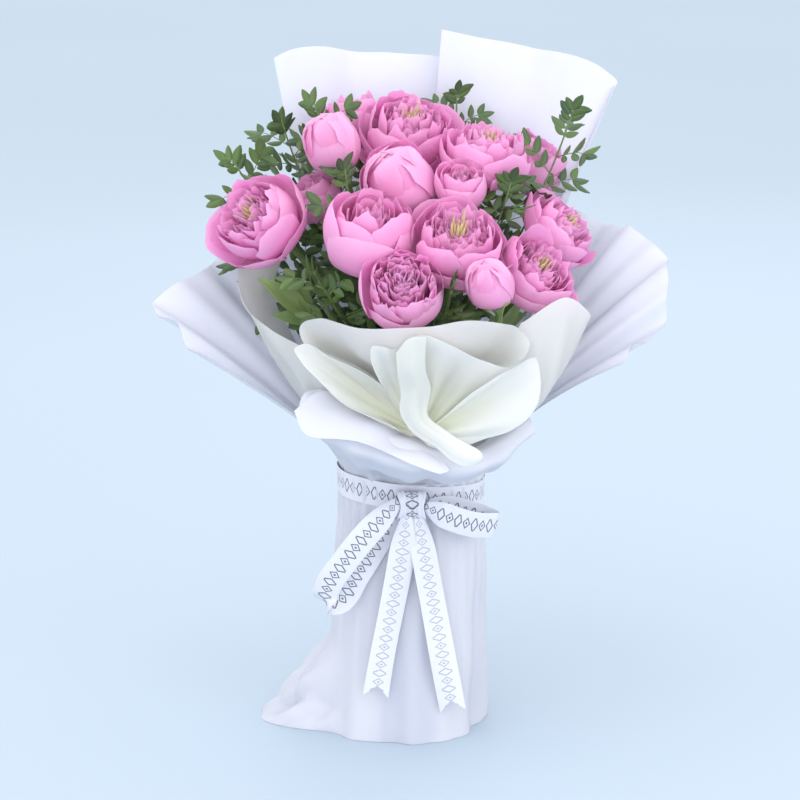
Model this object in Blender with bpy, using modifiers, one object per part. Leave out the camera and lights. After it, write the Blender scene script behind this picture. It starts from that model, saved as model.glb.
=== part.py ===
"""A hand-tied bunch of peonies in a paper wrapper, standing on its foot.

The stems run through one tie point, the peony heads form a dome above it, and
pleated sheets of wrapping stand round them. A skirt of the same sheet wraps the
stems below the tie, and a satin ribbon with a knot, two loops and two tails goes
round the waist.

Metres, +Z up, -Y is the front. The tie is on the line x = y = 0 of the bunch's own
frame; a parent empty carries everything back and left a little, so that the finished
bunch is centred over the origin. Places in the tables are measured from the middle of
the tie, so their heights are heights above it.
"""

import math

import bmesh
import bpy
import numpy as np
from mathutils import Vector

# ---- driving dimensions -------------------------------------------------------

SET_BACK = 0.030
SET_LEFT = 0.0015
CLEARANCE = 0.0004

TIE_HEIGHT = 0.233
STEM_DIAMETER = 0.0068
SPRIG_STEM_DIAMETER = 0.0036
FOOT_SPLAY = 2.0
FOOT_UPRIGHT = 0.004
STEM_RISE = 0.36
NECK_BEND = 0.30
NECK_LENGTH = 0.010
RECEPTACLE_RADIUS = 0.009
TWINE_RADIUS = 0.001

WAIST_HALF_WIDTH = 0.0705
WAIST_HALF_DEPTH = 0.0580
WAIST_BOTTOM = TIE_HEIGHT - 0.022
WAIST_TOP = TIE_HEIGHT + 0.013
SHEET_WALL = 0.0024
SKIRT_PLEATS = 0.0050
OUTER_PLEATS = 0.0085
INNER_PLEATS = 0.0085
FOLD_PLEATS = 0.0065
THINNED_BY = 0.25
SHEET_ROWS = (0.0, 0.1, THINNED_BY, 0.5, 0.75, 1.0)

HEM_HALF_WIDTH = 0.079
HEM_HALF_DEPTH = 0.084
HEM_SHIFT = (-0.007, -0.014)
HEM_WALL = 0.003
LOBE_REACH = 0.062
LOBE_HEIGHT = 0.085
LOBE_MIDDLE = 178.0
LOBE_SPREAD = 34.0

RIBBON_WIDTH = 0.025
RIBBON_PINCH = 0.010
RIBBON_THICKNESS = 0.001
RIBBON_TILT = 0.17
KNOT_SIZE = (0.030, 0.014, 0.026)
KNOT_DROP = 0.004

# Peony heads: centre, radius, the way the head faces, and how far it has opened.
BLOOMS = {
    "peony_01": ((-0.140, -0.035, 0.262), 0.037, (-0.55, -0.60, 0.58), "open"),
    "peony_02": ((-0.074, 0.005, 0.330), 0.027, (-0.30, -0.25, 0.92), "bud"),
    "peony_03": ((-0.052, 0.086, 0.333), 0.027, (-0.20, 0.10, 0.97), "cup"),
    "peony_04": ((-0.001, 0.045, 0.334), 0.040, (0.10, -0.45, 0.88), "open"),
    "peony_05": ((-0.010, -0.035, 0.299), 0.033, (-0.35, -0.35, 0.87), "bud"),
    "peony_06": ((0.071, 0.000, 0.321), 0.036, (0.15, -0.20, 0.96), "open"),
    "peony_07": ((0.114, 0.060, 0.297), 0.029, (0.60, -0.20, 0.77), "cup"),
    "peony_08": ((0.046, -0.045, 0.294), 0.022, (0.05, -0.50, 0.86), "cup"),
    "peony_09": ((0.137, -0.025, 0.250), 0.032, (0.70, -0.35, 0.60), "open"),
    "peony_10": ((-0.038, -0.090, 0.255), 0.039, (0.12, -0.40, 0.90), "cup"),
    "peony_11": ((0.042, -0.100, 0.255), 0.040, (0.10, -0.50, 0.86), "open"),
    "peony_12": ((-0.007, -0.150, 0.221), 0.034, (0.00, -0.75, 0.66), "ball"),
    "peony_13": ((0.071, -0.150, 0.227), 0.022, (-0.25, -0.35, 0.88), "bud"),
    "peony_14": ((0.113, -0.090, 0.222), 0.032, (0.45, -0.50, 0.74), "open"),
    "peony_15": ((-0.090, 0.020, 0.271), 0.023, (-0.35, -0.20, 0.90), "cup"),
}

# Length of each form in radii, and its outline: (share of length, share of radius).
FORMS = {
    "bud": (2.10, ((1.00, 0.0), (0.96, 0.40), (0.82, 0.78), (0.56, 1.0),
                   (0.28, 0.86), (0.06, 0.45), (0.0, 0.0))),
    "ball": (1.90, ((1.00, 0.0), (0.95, 0.55), (0.78, 0.90), (0.50, 1.0),
                    (0.22, 0.84), (0.04, 0.42), (0.0, 0.0))),
    "cup": (1.85, ((0.86, 0.0), (0.97, 0.60), (1.00, 0.82), (0.80, 0.96),
                   (0.48, 1.0), (0.18, 0.80), (0.0, 0.0))),
    "open": (1.60, ((0.90, 0.0), (0.94, 0.50), (0.86, 0.88), (0.55, 1.0),
                    (0.24, 0.84), (0.04, 0.44), (0.0, 0.0))),
}

# Sprigs of greenery: a point that the stem bends through, the tip, the length and
# half-width of the leafy end, its leaflet pairs, and the side that the leaf turns to.
SPRIGS = {
    "greens_01": ((-0.062, 0.056, 0.252), (-0.092, 0.040, 0.367), 0.060, 0.010, 4, (1.0, 0.3, 0.0)),
    "greens_02": ((-0.085, 0.078, 0.207), (-0.126, 0.050, 0.355), 0.085, 0.014, 5, (1.0, 0.2, 0.0)),
    "greens_03": ((-0.110, 0.050, 0.207), (-0.182, 0.020, 0.319), 0.085, 0.014, 5, (0.6, 0.0, -0.8)),
    "greens_04": ((-0.110, 0.045, 0.157), (-0.190, 0.012, 0.237), 0.070, 0.012, 4, (0.5, 0.3, -0.8)),
    "greens_05": ((0.046, 0.100, 0.232), (0.054, 0.091, 0.385), 0.085, 0.012, 5, (1.0, 0.0, 0.0)),
    "greens_06": ((0.106, 0.030, 0.197), (0.154, 0.018, 0.363), 0.100, 0.013, 6, (1.0, 0.0, 0.0)),
    "greens_07": ((0.070, -0.030, 0.207), (0.093, -0.044, 0.303), 0.050, 0.016, 3, (1.0, 0.4, 0.0)),
    "greens_08": ((-0.050, -0.020, 0.217), (-0.062, -0.045, 0.315), 0.055, 0.012, 3, (1.0, 0.0, 0.0)),
    "greens_09": ((-0.060, -0.065, 0.167), (-0.090, -0.108, 0.229), 0.050, 0.013, 3, (1.0, -0.4, 0.3)),
    "greens_10": ((0.028, -0.100, 0.167), (0.037, -0.150, 0.227), 0.045, 0.011, 3, (1.0, 0.0, 0.0)),
}

# Divided peony leaves: bend, tip, length and half-width of the blade, and its side.
LEAVES = {
    "peony_leaf_01": ((-0.054, -0.054, 0.152), (-0.138, -0.085, 0.215), 0.070, 0.011, (0.2, 0.5, 0.8)),
    "peony_leaf_02": ((0.066, -0.055, 0.157), (0.097, -0.118, 0.193), 0.060, 0.009, (0.9, 0.5, 0.0)),
}

# Wrapper sheets: the stretch of waist that each one leaves, in degrees from +X, which
# layer it lies in there, the points of its free edge, and how late it flares.
SHEETS = {
    "back_sheet_right": ((16, 90), "fold", 1.15,
                         ((0.202, 0.110, 0.362), (0.117, 0.126, 0.395), (0.030, 0.130, 0.422))),
    "back_sheet_left": ((72, 165), "inner", 1.15,
                        ((0.060, 0.146, 0.389), (-0.040, 0.146, 0.397), (-0.134, 0.124, 0.400))),
    "wing_sheet_left": ((140, 206), "outer", 1.4,
                        ((-0.108, 0.116, 0.237), (-0.152, 0.090, 0.233), (-0.202, 0.035, 0.199),
                         (-0.243, -0.020, 0.181), (-0.200, -0.062, 0.139))),
    "wing_sheet_right": ((-28, 36), "outer", 1.4,
                         ((0.200, -0.060, 0.129), (0.233, -0.030, 0.158), (0.244, 0.000, 0.215),
                          (0.214, 0.050, 0.237), (0.170, 0.106, 0.237))),
    "front_sheet": ((203, 337), "inner", 1.3,
                    ((-0.122, -0.062, 0.132), (-0.090, -0.124, 0.112), (-0.020, -0.160, 0.067),
                     (0.040, -0.154, 0.035), (0.092, -0.112, 0.057), (0.114, -0.060, 0.089))),
    "collar_sheet": ((205, 335), "collar", 1.3,
                     ((-0.112, -0.092, 0.177), (-0.088, -0.140, 0.191), (-0.007, -0.188, 0.203),
                      (0.078, -0.166, 0.204), (0.118, -0.130, 0.193), (0.158, -0.100, 0.209))),
    "collar_fold_left": ((216, 264), "fold", 1.3,
                         ((-0.100, -0.128, 0.159), (-0.068, -0.158, 0.139),
                          (-0.036, -0.186, 0.155), (-0.012, -0.196, 0.159))),
    "collar_fold_right": ((269, 324), "fold", 1.3,
                          ((0.008, -0.206, 0.177), (0.066, -0.196, 0.155),
                           (0.122, -0.146, 0.151), (0.128, -0.112, 0.117))),
}

# Half-axes of the skirt above the hem: height above the tie, half-width, half-depth.
SKIRT_SECTIONS = (
    (WAIST_TOP - TIE_HEIGHT, WAIST_HALF_WIDTH, WAIST_HALF_DEPTH),
    (-0.033, WAIST_HALF_WIDTH, WAIST_HALF_DEPTH),
    (-0.083, 0.0745, 0.0640),
    (-0.148, 0.0755, 0.0700),
    (-0.198, 0.0770, 0.0780),
)

# The ribbon's loops, from the knot's side out to the fold and back, as places measured
# from the tie's height and the knot's front, and the tails' ends, measured from the tie.
LOOPS = {
    "ribbon_loop_left": ((0.731, 0.0, -0.682), -1,
                         ((-0.045, -0.010, -0.043), (-0.072, -0.011, -0.072), (-0.082, -0.005, -0.083),
                          (-0.072, 0.001, -0.072), (-0.045, 0.011, -0.043))),
    "ribbon_loop_right": ((0.240, 0.0, 0.970), 1,
                          ((0.045, -0.004, -0.019), (0.068, 0.006, -0.023), (0.078, 0.013, -0.025),
                           (0.068, 0.017, -0.023), (0.045, 0.015, -0.019))),
}
TAILS = {
    "ribbon_tail_left": (0.001, (-0.034, -0.094, -0.181)),
    "ribbon_tail_right": (0.004, (0.040, -0.090, -0.197)),
}

COLOURS = {
    "petal_pink": ((0.89, 0.38, 0.66), 0.55),
    "stem_green": ((0.20, 0.30, 0.11), 0.55),
    "leaf_dark": ((0.055, 0.105, 0.050), 0.50),
    "leaf_light": ((0.24, 0.33, 0.12), 0.50),
    "wrap_white": ((0.87, 0.88, 0.95), 0.60),
    "wrap_ivory": ((0.88, 0.91, 0.78), 0.60),
    "ribbon_satin": ((0.90, 0.90, 0.93), 0.35),
    "twine": ((0.42, 0.33, 0.20), 0.85),
}

LAYERS = {
    "skirt": (0.0, SKIRT_PLEATS),
    "outer": (SKIRT_PLEATS + CLEARANCE, OUTER_PLEATS),
    "inner": (SKIRT_PLEATS + OUTER_PLEATS + 2 * CLEARANCE, INNER_PLEATS),
    "fold": (SKIRT_PLEATS + OUTER_PLEATS + INNER_PLEATS + 3 * CLEARANCE, FOLD_PLEATS),
    "collar": (SKIRT_PLEATS + OUTER_PLEATS + INNER_PLEATS + FOLD_PLEATS + 4 * CLEARANCE, None),
}


# ---- scene and materials ------------------------------------------------------

def clear_scene():
    """Removes every object, so that a second run starts from nothing."""
    for obj in list(bpy.data.objects):
        bpy.data.objects.remove(obj, do_unlink=True)


def make_material(name):
    """A Principled material with the colour and roughness that COLOURS gives."""
    colour, roughness = COLOURS[name]
    material = bpy.data.materials.new(name)
    material.use_nodes = True
    shader = material.node_tree.nodes["Principled BSDF"]
    shader.inputs["Base Color"].default_value = (*colour, 1.0)
    shader.inputs["Roughness"].default_value = roughness
    shader.inputs["Metallic"].default_value = 0.0
    return material


class Bench:
    """Holds the collection, the parent empty and the materials of the bunch."""

    def __init__(self):
        self.collection = bpy.data.collections.new("bunch_of_peonies")
        bpy.context.scene.collection.children.link(self.collection)
        self.frame = bpy.data.objects.new("bunch_frame", None)
        self.frame.location = (-SET_LEFT, SET_BACK, 0.0)
        self.collection.objects.link(self.frame)
        self.materials = {name: make_material(name) for name in COLOURS}

    def add(self, name, data, material, location=(0.0, 0.0, 0.0), facing=None):
        """Puts a mesh or a curve in the collection as the piece called name."""
        obj = bpy.data.objects.new(name, data)
        obj.parent = self.frame
        obj.location = location
        if facing is not None:
            obj.rotation_mode = "QUATERNION"
            obj.rotation_quaternion = Vector(facing).to_track_quat("Z", "Y")
        data.materials.append(self.materials[material])
        self.collection.objects.link(obj)
        return obj


# ---- curves and lofts ---------------------------------------------------------

def bezier(start, first, second, end, count):
    """Points of a cubic Bezier curve, count of them, both ends included."""
    t = np.linspace(0.0, 1.0, count)[:, None]
    corners = [np.asarray(p, float) for p in (start, first, second, end)]
    weights = ((1 - t) ** 3, 3 * t * (1 - t) ** 2, 3 * t * t * (1 - t), t ** 3)
    return sum(w * p for w, p in zip(weights, corners))


def along(points, shares):
    """Points on the smooth curve through points, at shares of its length from 0 to 1."""
    points = np.asarray(points, float)
    steps = np.linalg.norm(np.diff(points, axis=0), axis=1)
    knots = np.concatenate(([0.0], np.cumsum(steps))) / steps.sum()
    slopes = np.gradient(points, knots, axis=0)
    shares = np.asarray(shares, float)
    k = np.clip(np.searchsorted(knots, shares, side="right") - 1, 0, len(knots) - 2)
    span = knots[k + 1] - knots[k]
    t = ((shares - knots[k]) / span)[:, None]
    span = span[:, None]
    return ((2 * t ** 3 - 3 * t ** 2 + 1) * points[k] + (t ** 3 - 2 * t ** 2 + t) * span * slopes[k]
            + (3 * t ** 2 - 2 * t ** 3) * points[k + 1] + (t ** 3 - t ** 2) * span * slopes[k + 1])


def solid_mesh(name, points, faces):
    """A mesh from points and faces, with its normals turned outwards."""
    mesh = bpy.data.meshes.new(name)
    mesh.from_pydata([tuple(p) for p in points], [], faces)
    work = bmesh.new()
    work.from_mesh(mesh)
    bmesh.ops.recalc_face_normals(work, faces=work.faces)
    work.to_mesh(mesh)
    work.free()
    mesh.shade_smooth()
    mesh.set_sharp_from_angle(angle=math.radians(40))
    return mesh


def strip_faces(grid, closed):
    """Four-sided faces between neighbouring rows of an index grid."""
    after = np.roll(grid, -1, axis=1) if closed else grid[:, 1:]
    before = grid if closed else grid[:, :-1]
    corners = (before[:-1], after[:-1], after[1:], before[1:])
    return np.stack([c.ravel() for c in corners], axis=1).tolist()


def loft(name, rings):
    """A closed solid through rings of points, capped at both ends."""
    rows, columns, _ = rings.shape
    grid = np.arange(rows * columns).reshape(rows, columns)
    faces = strip_faces(grid, True) + [grid[0, ::-1].tolist(), grid[-1].tolist()]
    return solid_mesh(name, rings.reshape(-1, 3), faces)


def wall(name, outer, inner, closed=False):
    """A closed wall between an outer and an inner surface of the same grid.

    A closed wall runs right round, so it has no side edges.
    """
    rows, columns, _ = outer.shape
    count = rows * columns
    outside = np.arange(count).reshape(rows, columns)
    inside = outside + count
    faces = strip_faces(outside, closed) + strip_faces(inside[:, ::-1], closed)
    for edge in (0, -1):
        faces += strip_faces(np.stack((outside[edge], inside[edge])), closed)
        if not closed:
            faces += strip_faces(np.stack((outside[:, edge], inside[:, edge])), False)
    return solid_mesh(name, np.concatenate((outer.reshape(-1, 3), inner.reshape(-1, 3))), faces)


def rod(bench, name, points, radii, material, sides):
    """A round rod along points, with its own radius at each, and capped ends."""
    curve = bpy.data.curves.new(name, "CURVE")
    curve.dimensions = "3D"
    curve.bevel_depth = max(radii)
    curve.bevel_resolution = sides // 2 - 2
    curve.use_fill_caps = True
    spline = curve.splines.new("POLY")
    spline.points.add(len(points) - 1)
    for point, place, radius in zip(spline.points, points, radii):
        point.co = (*place, 1.0)
        point.radius = radius / curve.bevel_depth
    return bench.add(name, curve, material)


# ---- stems through the tie ----------------------------------------------------

def draw_together(heads, radii):
    """Places of the stems in the tie, as close as their thickness lets them lie.

    Each stem starts towards the side that its head leans to. All are drawn to the
    middle, and two that come nearer than their radii and the clearance are pushed
    apart, until nothing moves.
    """
    places = np.array(heads)[:, :2] * 0.3
    needed = radii[:, None] + radii[None, :] + CLEARANCE
    np.fill_diagonal(needed, 0.0)
    for pull in np.linspace(0.06, 0.0, 600):
        places = places * (1.0 - pull)
        for _ in range(4):
            apart = places[:, None] - places[None, :]
            distance = np.linalg.norm(apart, axis=2) + np.eye(len(places))
            push = np.clip(needed - distance, 0.0, None) / 2
            places = places + (apart / distance[:, :, None] * push[:, :, None]).sum(axis=1)
    return places


def stem_path(slot, bend, end, count):
    """The way of a stem: up from its cut end, through the tie, and over to end.

    Below the tie the stems splay in proportion to their places in it; the last few
    millimetres stand upright, so that the cut end lies flat on the table. Above it a
    stem rises for a share of the height to its head before it bends over.
    """
    foot = slot * FOOT_SPLAY
    tie = np.array((slot[0], slot[1], TIE_HEIGHT))
    rise = np.array((0.0, 0.0, STEM_RISE * (end[2] - TIE_HEIGHT)))
    lower = [(*foot, 0.0), (*foot, FOOT_UPRIGHT)]
    return np.array(lower + bezier(tie, tie + rise, bend, end, count).tolist())


# ---- flowers and greenery -----------------------------------------------------

def unit(vector):
    """The vector at length 1."""
    vector = np.asarray(vector, float)
    return vector / np.linalg.norm(vector)


def from_tie(place):
    """A place measured from the tie, as a place in the bunch's own frame."""
    return np.asarray(place, float) + (0.0, 0.0, TIE_HEIGHT)


def head_base(name):
    """Where the outline of a head starts: half its length behind its centre."""
    centre, radius, facing, form = BLOOMS[name]
    return from_tie(centre) - unit(facing) * FORMS[form][0] * radius / 2


def make_bloom(bench, name):
    """A peony head as one closed turned form, on the end of its stem."""
    _, radius, facing, form = BLOOMS[name]
    length, outline = FORMS[form]
    mesh = bpy.data.meshes.new(name + "_bloom")
    points = [(share * radius, 0.0, height * length * radius) for height, share in outline]
    mesh.from_pydata(points, [(k, k + 1) for k in range(len(points) - 1)], [])
    obj = bench.add(name + "_bloom", mesh, "petal_pink", head_base(name), facing)
    screw = obj.modifiers.new("turn", "SCREW")
    screw.steps = screw.render_steps = 14
    screw.use_merge_vertices = True
    screw.merge_threshold = 0.00005
    screw.use_smooth_shade = True


def make_peony_stem(bench, name, slot):
    """A peony's stem, widening to the green receptacle under its head."""
    facing = unit(BLOOMS[name][2])
    end = head_base(name) - facing * CLEARANCE
    bend = end - facing * NECK_BEND * (end[2] - TIE_HEIGHT)
    points = stem_path(slot, bend, end, 8)
    neck = points[-1] - facing * NECK_LENGTH
    points = np.concatenate((points[:-1], [neck, points[-1]]))
    radii = [STEM_DIAMETER / 2] * (len(points) - 1) + [RECEPTACLE_RADIUS]
    rod(bench, name + "_stem", points, radii, "stem_green", 8)


def leafy_mesh(name, slot, bend, tip, blade, half_width, pairs, side):
    """A stem that flattens into a leafy end with a lobed outline.

    The half-width swells and narrows once for each pair of leaflets; with one pair
    it is a single blade. Every section is a flat hexagon across the path.
    """
    path = stem_path(slot, from_tie(bend), from_tie(tip), 25)
    steps = np.linalg.norm(np.diff(path, axis=0), axis=1)
    reached = np.concatenate(([0.0], np.cumsum(steps))) / steps.sum()
    start = 1.0 - blade / steps.sum()
    tie = reached[2]
    stalk_rows = np.concatenate(([0.0], np.linspace(tie, start, 6)[:-1]))
    shares = np.concatenate((stalk_rows, np.linspace(start, 1.0, 4 * pairs + 1)))
    centres = np.column_stack([np.interp(shares, reached, axis) for axis in path.T])
    ahead = np.gradient(centres, axis=0)
    ahead /= np.linalg.norm(ahead, axis=1)[:, None]
    inside = np.clip((shares - start) / (1.0 - start), 0.0, 1.0)
    swell = np.sin(np.pi * inside) ** 0.6 if pairs == 1 else np.abs(np.sin(np.pi * pairs * inside))
    swell = swell * (1.0 - 0.45 * inside)
    stalk = SPRIG_STEM_DIAMETER / 2
    widths = stalk + (half_width - stalk) * swell
    heights = np.where(inside > 0.0, 0.0010, stalk)
    widths[-1], heights[-1] = 0.0008, 0.0006
    across = np.asarray(side, float) - (ahead @ np.asarray(side, float))[:, None] * ahead
    across /= np.linalg.norm(across, axis=1)[:, None]
    above = np.cross(ahead, across)
    turns = np.radians(np.arange(0, 360, 60))
    rings = (centres[:, None] + across[:, None] * (np.cos(turns)[:, None] * widths[:, None, None])
             + above[:, None] * (np.sin(turns)[:, None] * heights[:, None, None]))
    rings[0, :, 2] = 0.0
    return loft(name, rings)


def make_flowers(bench):
    """The peonies, the sprigs and the leaves, each through its own place in the tie."""
    heads = {name: row[0] for name, row in BLOOMS.items()}
    heads.update({name: row[1] for name, row in SPRIGS.items()})
    heads.update({name: row[1] for name, row in LEAVES.items()})
    radii = np.array([(STEM_DIAMETER if n in BLOOMS else SPRIG_STEM_DIAMETER) / 2 for n in heads])
    places = draw_together(list(heads.values()), radii)
    slots = dict(zip(heads, places))
    for name in BLOOMS:
        make_bloom(bench, name)
        make_peony_stem(bench, name, slots[name])
    for name, (bend, tip, blade, half_width, pairs, side) in SPRIGS.items():
        mesh = leafy_mesh(name, slots[name], bend, tip, blade, half_width, pairs, side)
        bench.add(name, mesh, "leaf_dark")
    for name, (bend, tip, blade, half_width, side) in LEAVES.items():
        mesh = leafy_mesh(name, slots[name], bend, tip, blade, half_width, 1, side)
        bench.add(name, mesh, "leaf_light")
    return (np.linalg.norm(places, axis=1) + radii).max() + CLEARANCE


def make_twine(bench, hold):
    """The ring of twine that ties the stems, with the radius hold inside."""
    bpy.ops.mesh.primitive_torus_add(major_segments=28, minor_segments=6,
                                     major_radius=hold + TWINE_RADIUS, minor_radius=TWINE_RADIUS)
    ring = bpy.context.object
    mesh = ring.data
    bpy.data.objects.remove(ring)
    mesh.shade_smooth()
    bench.add("stem_twine", mesh, "twine", (0.0, 0.0, TIE_HEIGHT))


# ---- wrapper ------------------------------------------------------------------

def oval(degrees, half_width, half_depth):
    """Points of an oval round the tie at the given angles."""
    angle = np.radians(degrees)
    return np.stack((half_width * np.cos(angle), half_depth * np.sin(angle)), axis=1)


def make_sheet(bench, name, hold):
    """A sheet gathered at the waist and spread to its free edge.

    Its outer face runs straight up through the waist and then out to the edge, the
    later the larger its flare. The pleats make it thick at the waist, and it thins
    to one wall by a share of its height. The collar's pleats fill what is left in
    front of the twine.
    """
    (first, last), layer, flare, edge = SHEETS[name]
    depth, pleats = LAYERS[layer]
    if pleats is None:
        pleats = WAIST_HALF_DEPTH - depth - hold - 2 * TWINE_RADIUS - CLEARANCE
    columns = 5 + 2 * len(edge)
    degrees = np.linspace(first, last, columns)
    waist = oval(degrees, WAIST_HALF_WIDTH - depth, WAIST_HALF_DEPTH - depth)
    outward = waist / np.linalg.norm(waist, axis=1)[:, None]
    free = from_tie(along(edge, np.linspace(0.0, 1.0, columns)))
    shares = np.array(SHEET_ROWS)[:, None, None]
    spread = shares ** flare
    rows = np.empty((len(shares) + 1, columns, 3))
    rows[0, :, :2], rows[0, :, 2] = waist, WAIST_BOTTOM
    rows[1:, :, :2] = waist + (free[:, :2] - waist) * spread
    rows[1:, :, 2] = WAIST_TOP + (free[:, 2] - WAIST_TOP) * shares[:, :, 0]
    thickness = SHEET_WALL + (pleats - SHEET_WALL) * (1.0 - np.clip(shares / THINNED_BY, 0.0, 1.0))
    thickness = np.concatenate(([thickness[0]], thickness))
    inside = rows.copy()
    inside[:, :, :2] -= outward * thickness
    material = "wrap_ivory" if name.startswith("collar") else "wrap_white"
    bench.add(name, wall(name, rows, inside), material)


def make_skirt(bench):
    """The sheet round the stems below the tie, with its hem flat on the table.

    On the left the hem spreads into a low lobe that lies on the table.
    """
    degrees = np.arange(0, 360, 10)
    lobe = np.exp(-((degrees - LOBE_MIDDLE) / LOBE_SPREAD) ** 4)
    sections = SKIRT_SECTIONS + ((-TIE_HEIGHT, HEM_HALF_WIDTH, HEM_HALF_DEPTH),)
    straight = TIE_HEIGHT + SKIRT_SECTIONS[1][0]
    outer, inner = [], []
    for above_tie, half_width, half_depth in sections:
        height = TIE_HEIGHT + above_tie
        low = max(0.0, 1.0 - height / straight)
        shift = np.array(HEM_SHIFT) * low
        reach = LOBE_REACH * lobe * max(0.0, 1.0 - height / LOBE_HEIGHT) ** 1.5
        thickness = HEM_WALL if height < WAIST_BOTTOM else SKIRT_PLEATS
        for rows, inset in ((outer, 0.0), (inner, thickness)):
            ring = oval(degrees, half_width - inset, half_depth - inset) + shift
            ring[:, 0] -= reach
            rows.append(np.column_stack((ring, np.full(len(degrees), height))))
    bench.add("stem_skirt", wall("stem_skirt", np.array(outer), np.array(inner), True), "wrap_white")


# ---- ribbon -------------------------------------------------------------------

def tape(name, path, across, pinched):
    """A flat ribbon along a path, its width along across, pinched at the given rows."""
    path = np.asarray(path, float)
    ahead = np.gradient(path, axis=0)
    ahead /= np.linalg.norm(ahead, axis=1)[:, None]
    widths = np.full(len(path), RIBBON_WIDTH)
    widths[list(pinched)] = RIBBON_PINCH
    across = unit(across)
    half = across * widths[:, None] / 2
    face = np.cross(ahead, across)
    face = face / np.linalg.norm(face, axis=1)[:, None] * RIBBON_THICKNESS / 2
    corners = (half + face, -half + face, -half - face, half - face)
    return loft(name, np.stack([path + corner for corner in corners], axis=1))


def make_ribbon(bench):
    """The band round the waist, its knot, two loops and two hanging tails."""
    band_width, band_depth = WAIST_HALF_WIDTH + CLEARANCE, WAIST_HALF_DEPTH + CLEARANCE
    degrees = np.arange(0, 360, 10)
    faces = []
    for proud in (RIBBON_THICKNESS, 0.0):
        ring = oval(degrees, band_width + proud, band_depth + proud)
        middle = TIE_HEIGHT - RIBBON_TILT * 0.5 * ring[:, 0]
        edges = [middle + side * RIBBON_WIDTH / 2 for side in (-1, 1)]
        faces.append(np.array([np.column_stack((ring, edge)) for edge in edges]))
    bench.add("ribbon_band", wall("ribbon_band", faces[0], faces[1], True), "ribbon_satin")

    front = -(band_depth + RIBBON_THICKNESS + CLEARANCE)
    wide, deep, high = KNOT_SIZE
    middle = TIE_HEIGHT - KNOT_DROP
    knot = bpy.data.meshes.new("ribbon_knot")
    work = bmesh.new()
    bmesh.ops.create_cube(work, size=1.0)
    bmesh.ops.scale(work, vec=KNOT_SIZE, verts=work.verts)
    work.to_mesh(knot)
    work.free()
    obj = bench.add("ribbon_knot", knot, "ribbon_satin", (0.0, front - deep / 2, middle))
    bevel = obj.modifiers.new("soft_edges", "BEVEL")
    bevel.width = 0.003
    bevel.segments = 2

    near, far = front - deep + 0.002, front - 0.003
    for name, (across, side, places) in LOOPS.items():
        reach = side * (wide / 2 + CLEARANCE + RIBBON_PINCH / 2 * across[0])
        path = [(reach, near, middle)]
        path += [(x, near + y, TIE_HEIGHT + z) for x, y, z in places]
        path += [(reach + side * 0.001, far, middle)]
        bench.add(name, tape(name, path, across, (0, -1)), "ribbon_satin")

    top = middle - high / 2 - CLEARANCE - 0.0015
    for name, (behind, end) in TAILS.items():
        end = from_tie(end)
        start = np.array((0.15 * end[0], near + behind, top))
        bend = start + (end - start) * (0.35, 0.75, 0.35)
        path = bezier(start, start - (0.0, 0.0, 0.02), bend, end, 7)
        bench.add(name, tape(name, path, (1.0, 0.0, 0.25 * np.sign(end[0])), (0,)), "ribbon_satin")


# ---- assembly -----------------------------------------------------------------

def main():
    """Builds every piece of the bunch."""
    clear_scene()
    bench = Bench()
    hold = make_flowers(bench)
    make_twine(bench, hold)
    for name in SHEETS:
        make_sheet(bench, name, hold)
    make_skirt(bench)
    make_ribbon(bench)


main()
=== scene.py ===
"""A hand-tied bunch of peonies in its wrapper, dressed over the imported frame.

Each peony head is made of petals that are surfaces wrapped round the head's axis.
The greenery is stems with pairs of leaflets, the wrapper is gathered sheets whose folds
run out from the tie, and the ribbon is strips carried along smooth paths.

Metres, +Z up, -Y is the front. Places in the tables are measured from the middle of the
tie, as the frame's own design gives them, and BUNCH carries them to the frame.
"""

import logging
import math
from dataclasses import dataclass
from enum import Enum

import bpy
import numpy as np
from mathutils import Matrix, Vector
from mathutils.bvhtree import BVHTree


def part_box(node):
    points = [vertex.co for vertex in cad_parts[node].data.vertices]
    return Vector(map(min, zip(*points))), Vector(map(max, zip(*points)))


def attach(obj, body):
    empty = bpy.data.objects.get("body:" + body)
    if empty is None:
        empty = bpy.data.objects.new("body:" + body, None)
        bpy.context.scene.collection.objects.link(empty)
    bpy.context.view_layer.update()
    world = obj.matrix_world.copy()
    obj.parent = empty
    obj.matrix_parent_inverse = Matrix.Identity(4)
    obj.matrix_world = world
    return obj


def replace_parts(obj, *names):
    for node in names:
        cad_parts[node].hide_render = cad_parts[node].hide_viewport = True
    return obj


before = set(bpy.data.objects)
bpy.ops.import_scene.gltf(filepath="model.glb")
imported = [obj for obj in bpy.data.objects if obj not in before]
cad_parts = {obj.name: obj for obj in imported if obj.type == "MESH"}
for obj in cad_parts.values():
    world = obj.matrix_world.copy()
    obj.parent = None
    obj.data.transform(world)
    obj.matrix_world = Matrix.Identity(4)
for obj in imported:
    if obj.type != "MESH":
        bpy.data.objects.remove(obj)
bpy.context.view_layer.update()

LOG = logging.getLogger("bunch")
Array = np.ndarray
Place = tuple[float, float, float]

TIE_HEIGHT = 0.233
BUNCH = np.array((-0.0015, 0.030, TIE_HEIGHT))
WAIST_HALF_WIDTH = 0.0705
WAIST_HALF_DEPTH = 0.0580
WAIST_BOTTOM = -0.022
WAIST_TOP = 0.013
RIBBON_WIDTH = 0.025
GOLDEN_TURN = 137.508
PETAL_WALL = 0.00035
HEART_WALL = 0.0004
SEPAL_WALL = 0.0006
LEAF_WALL = 0.0004
BLADE_WALL = 0.0005
WRAP_WALL = 0.0005


# ---- vectors and curves --------------------------------------------------------


def unit(vectors: Array) -> Array:
    """The vectors at length 1, along their last axis."""
    vectors = np.asarray(vectors, float)
    return vectors / np.linalg.norm(vectors, axis=-1, keepdims=True)


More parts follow.
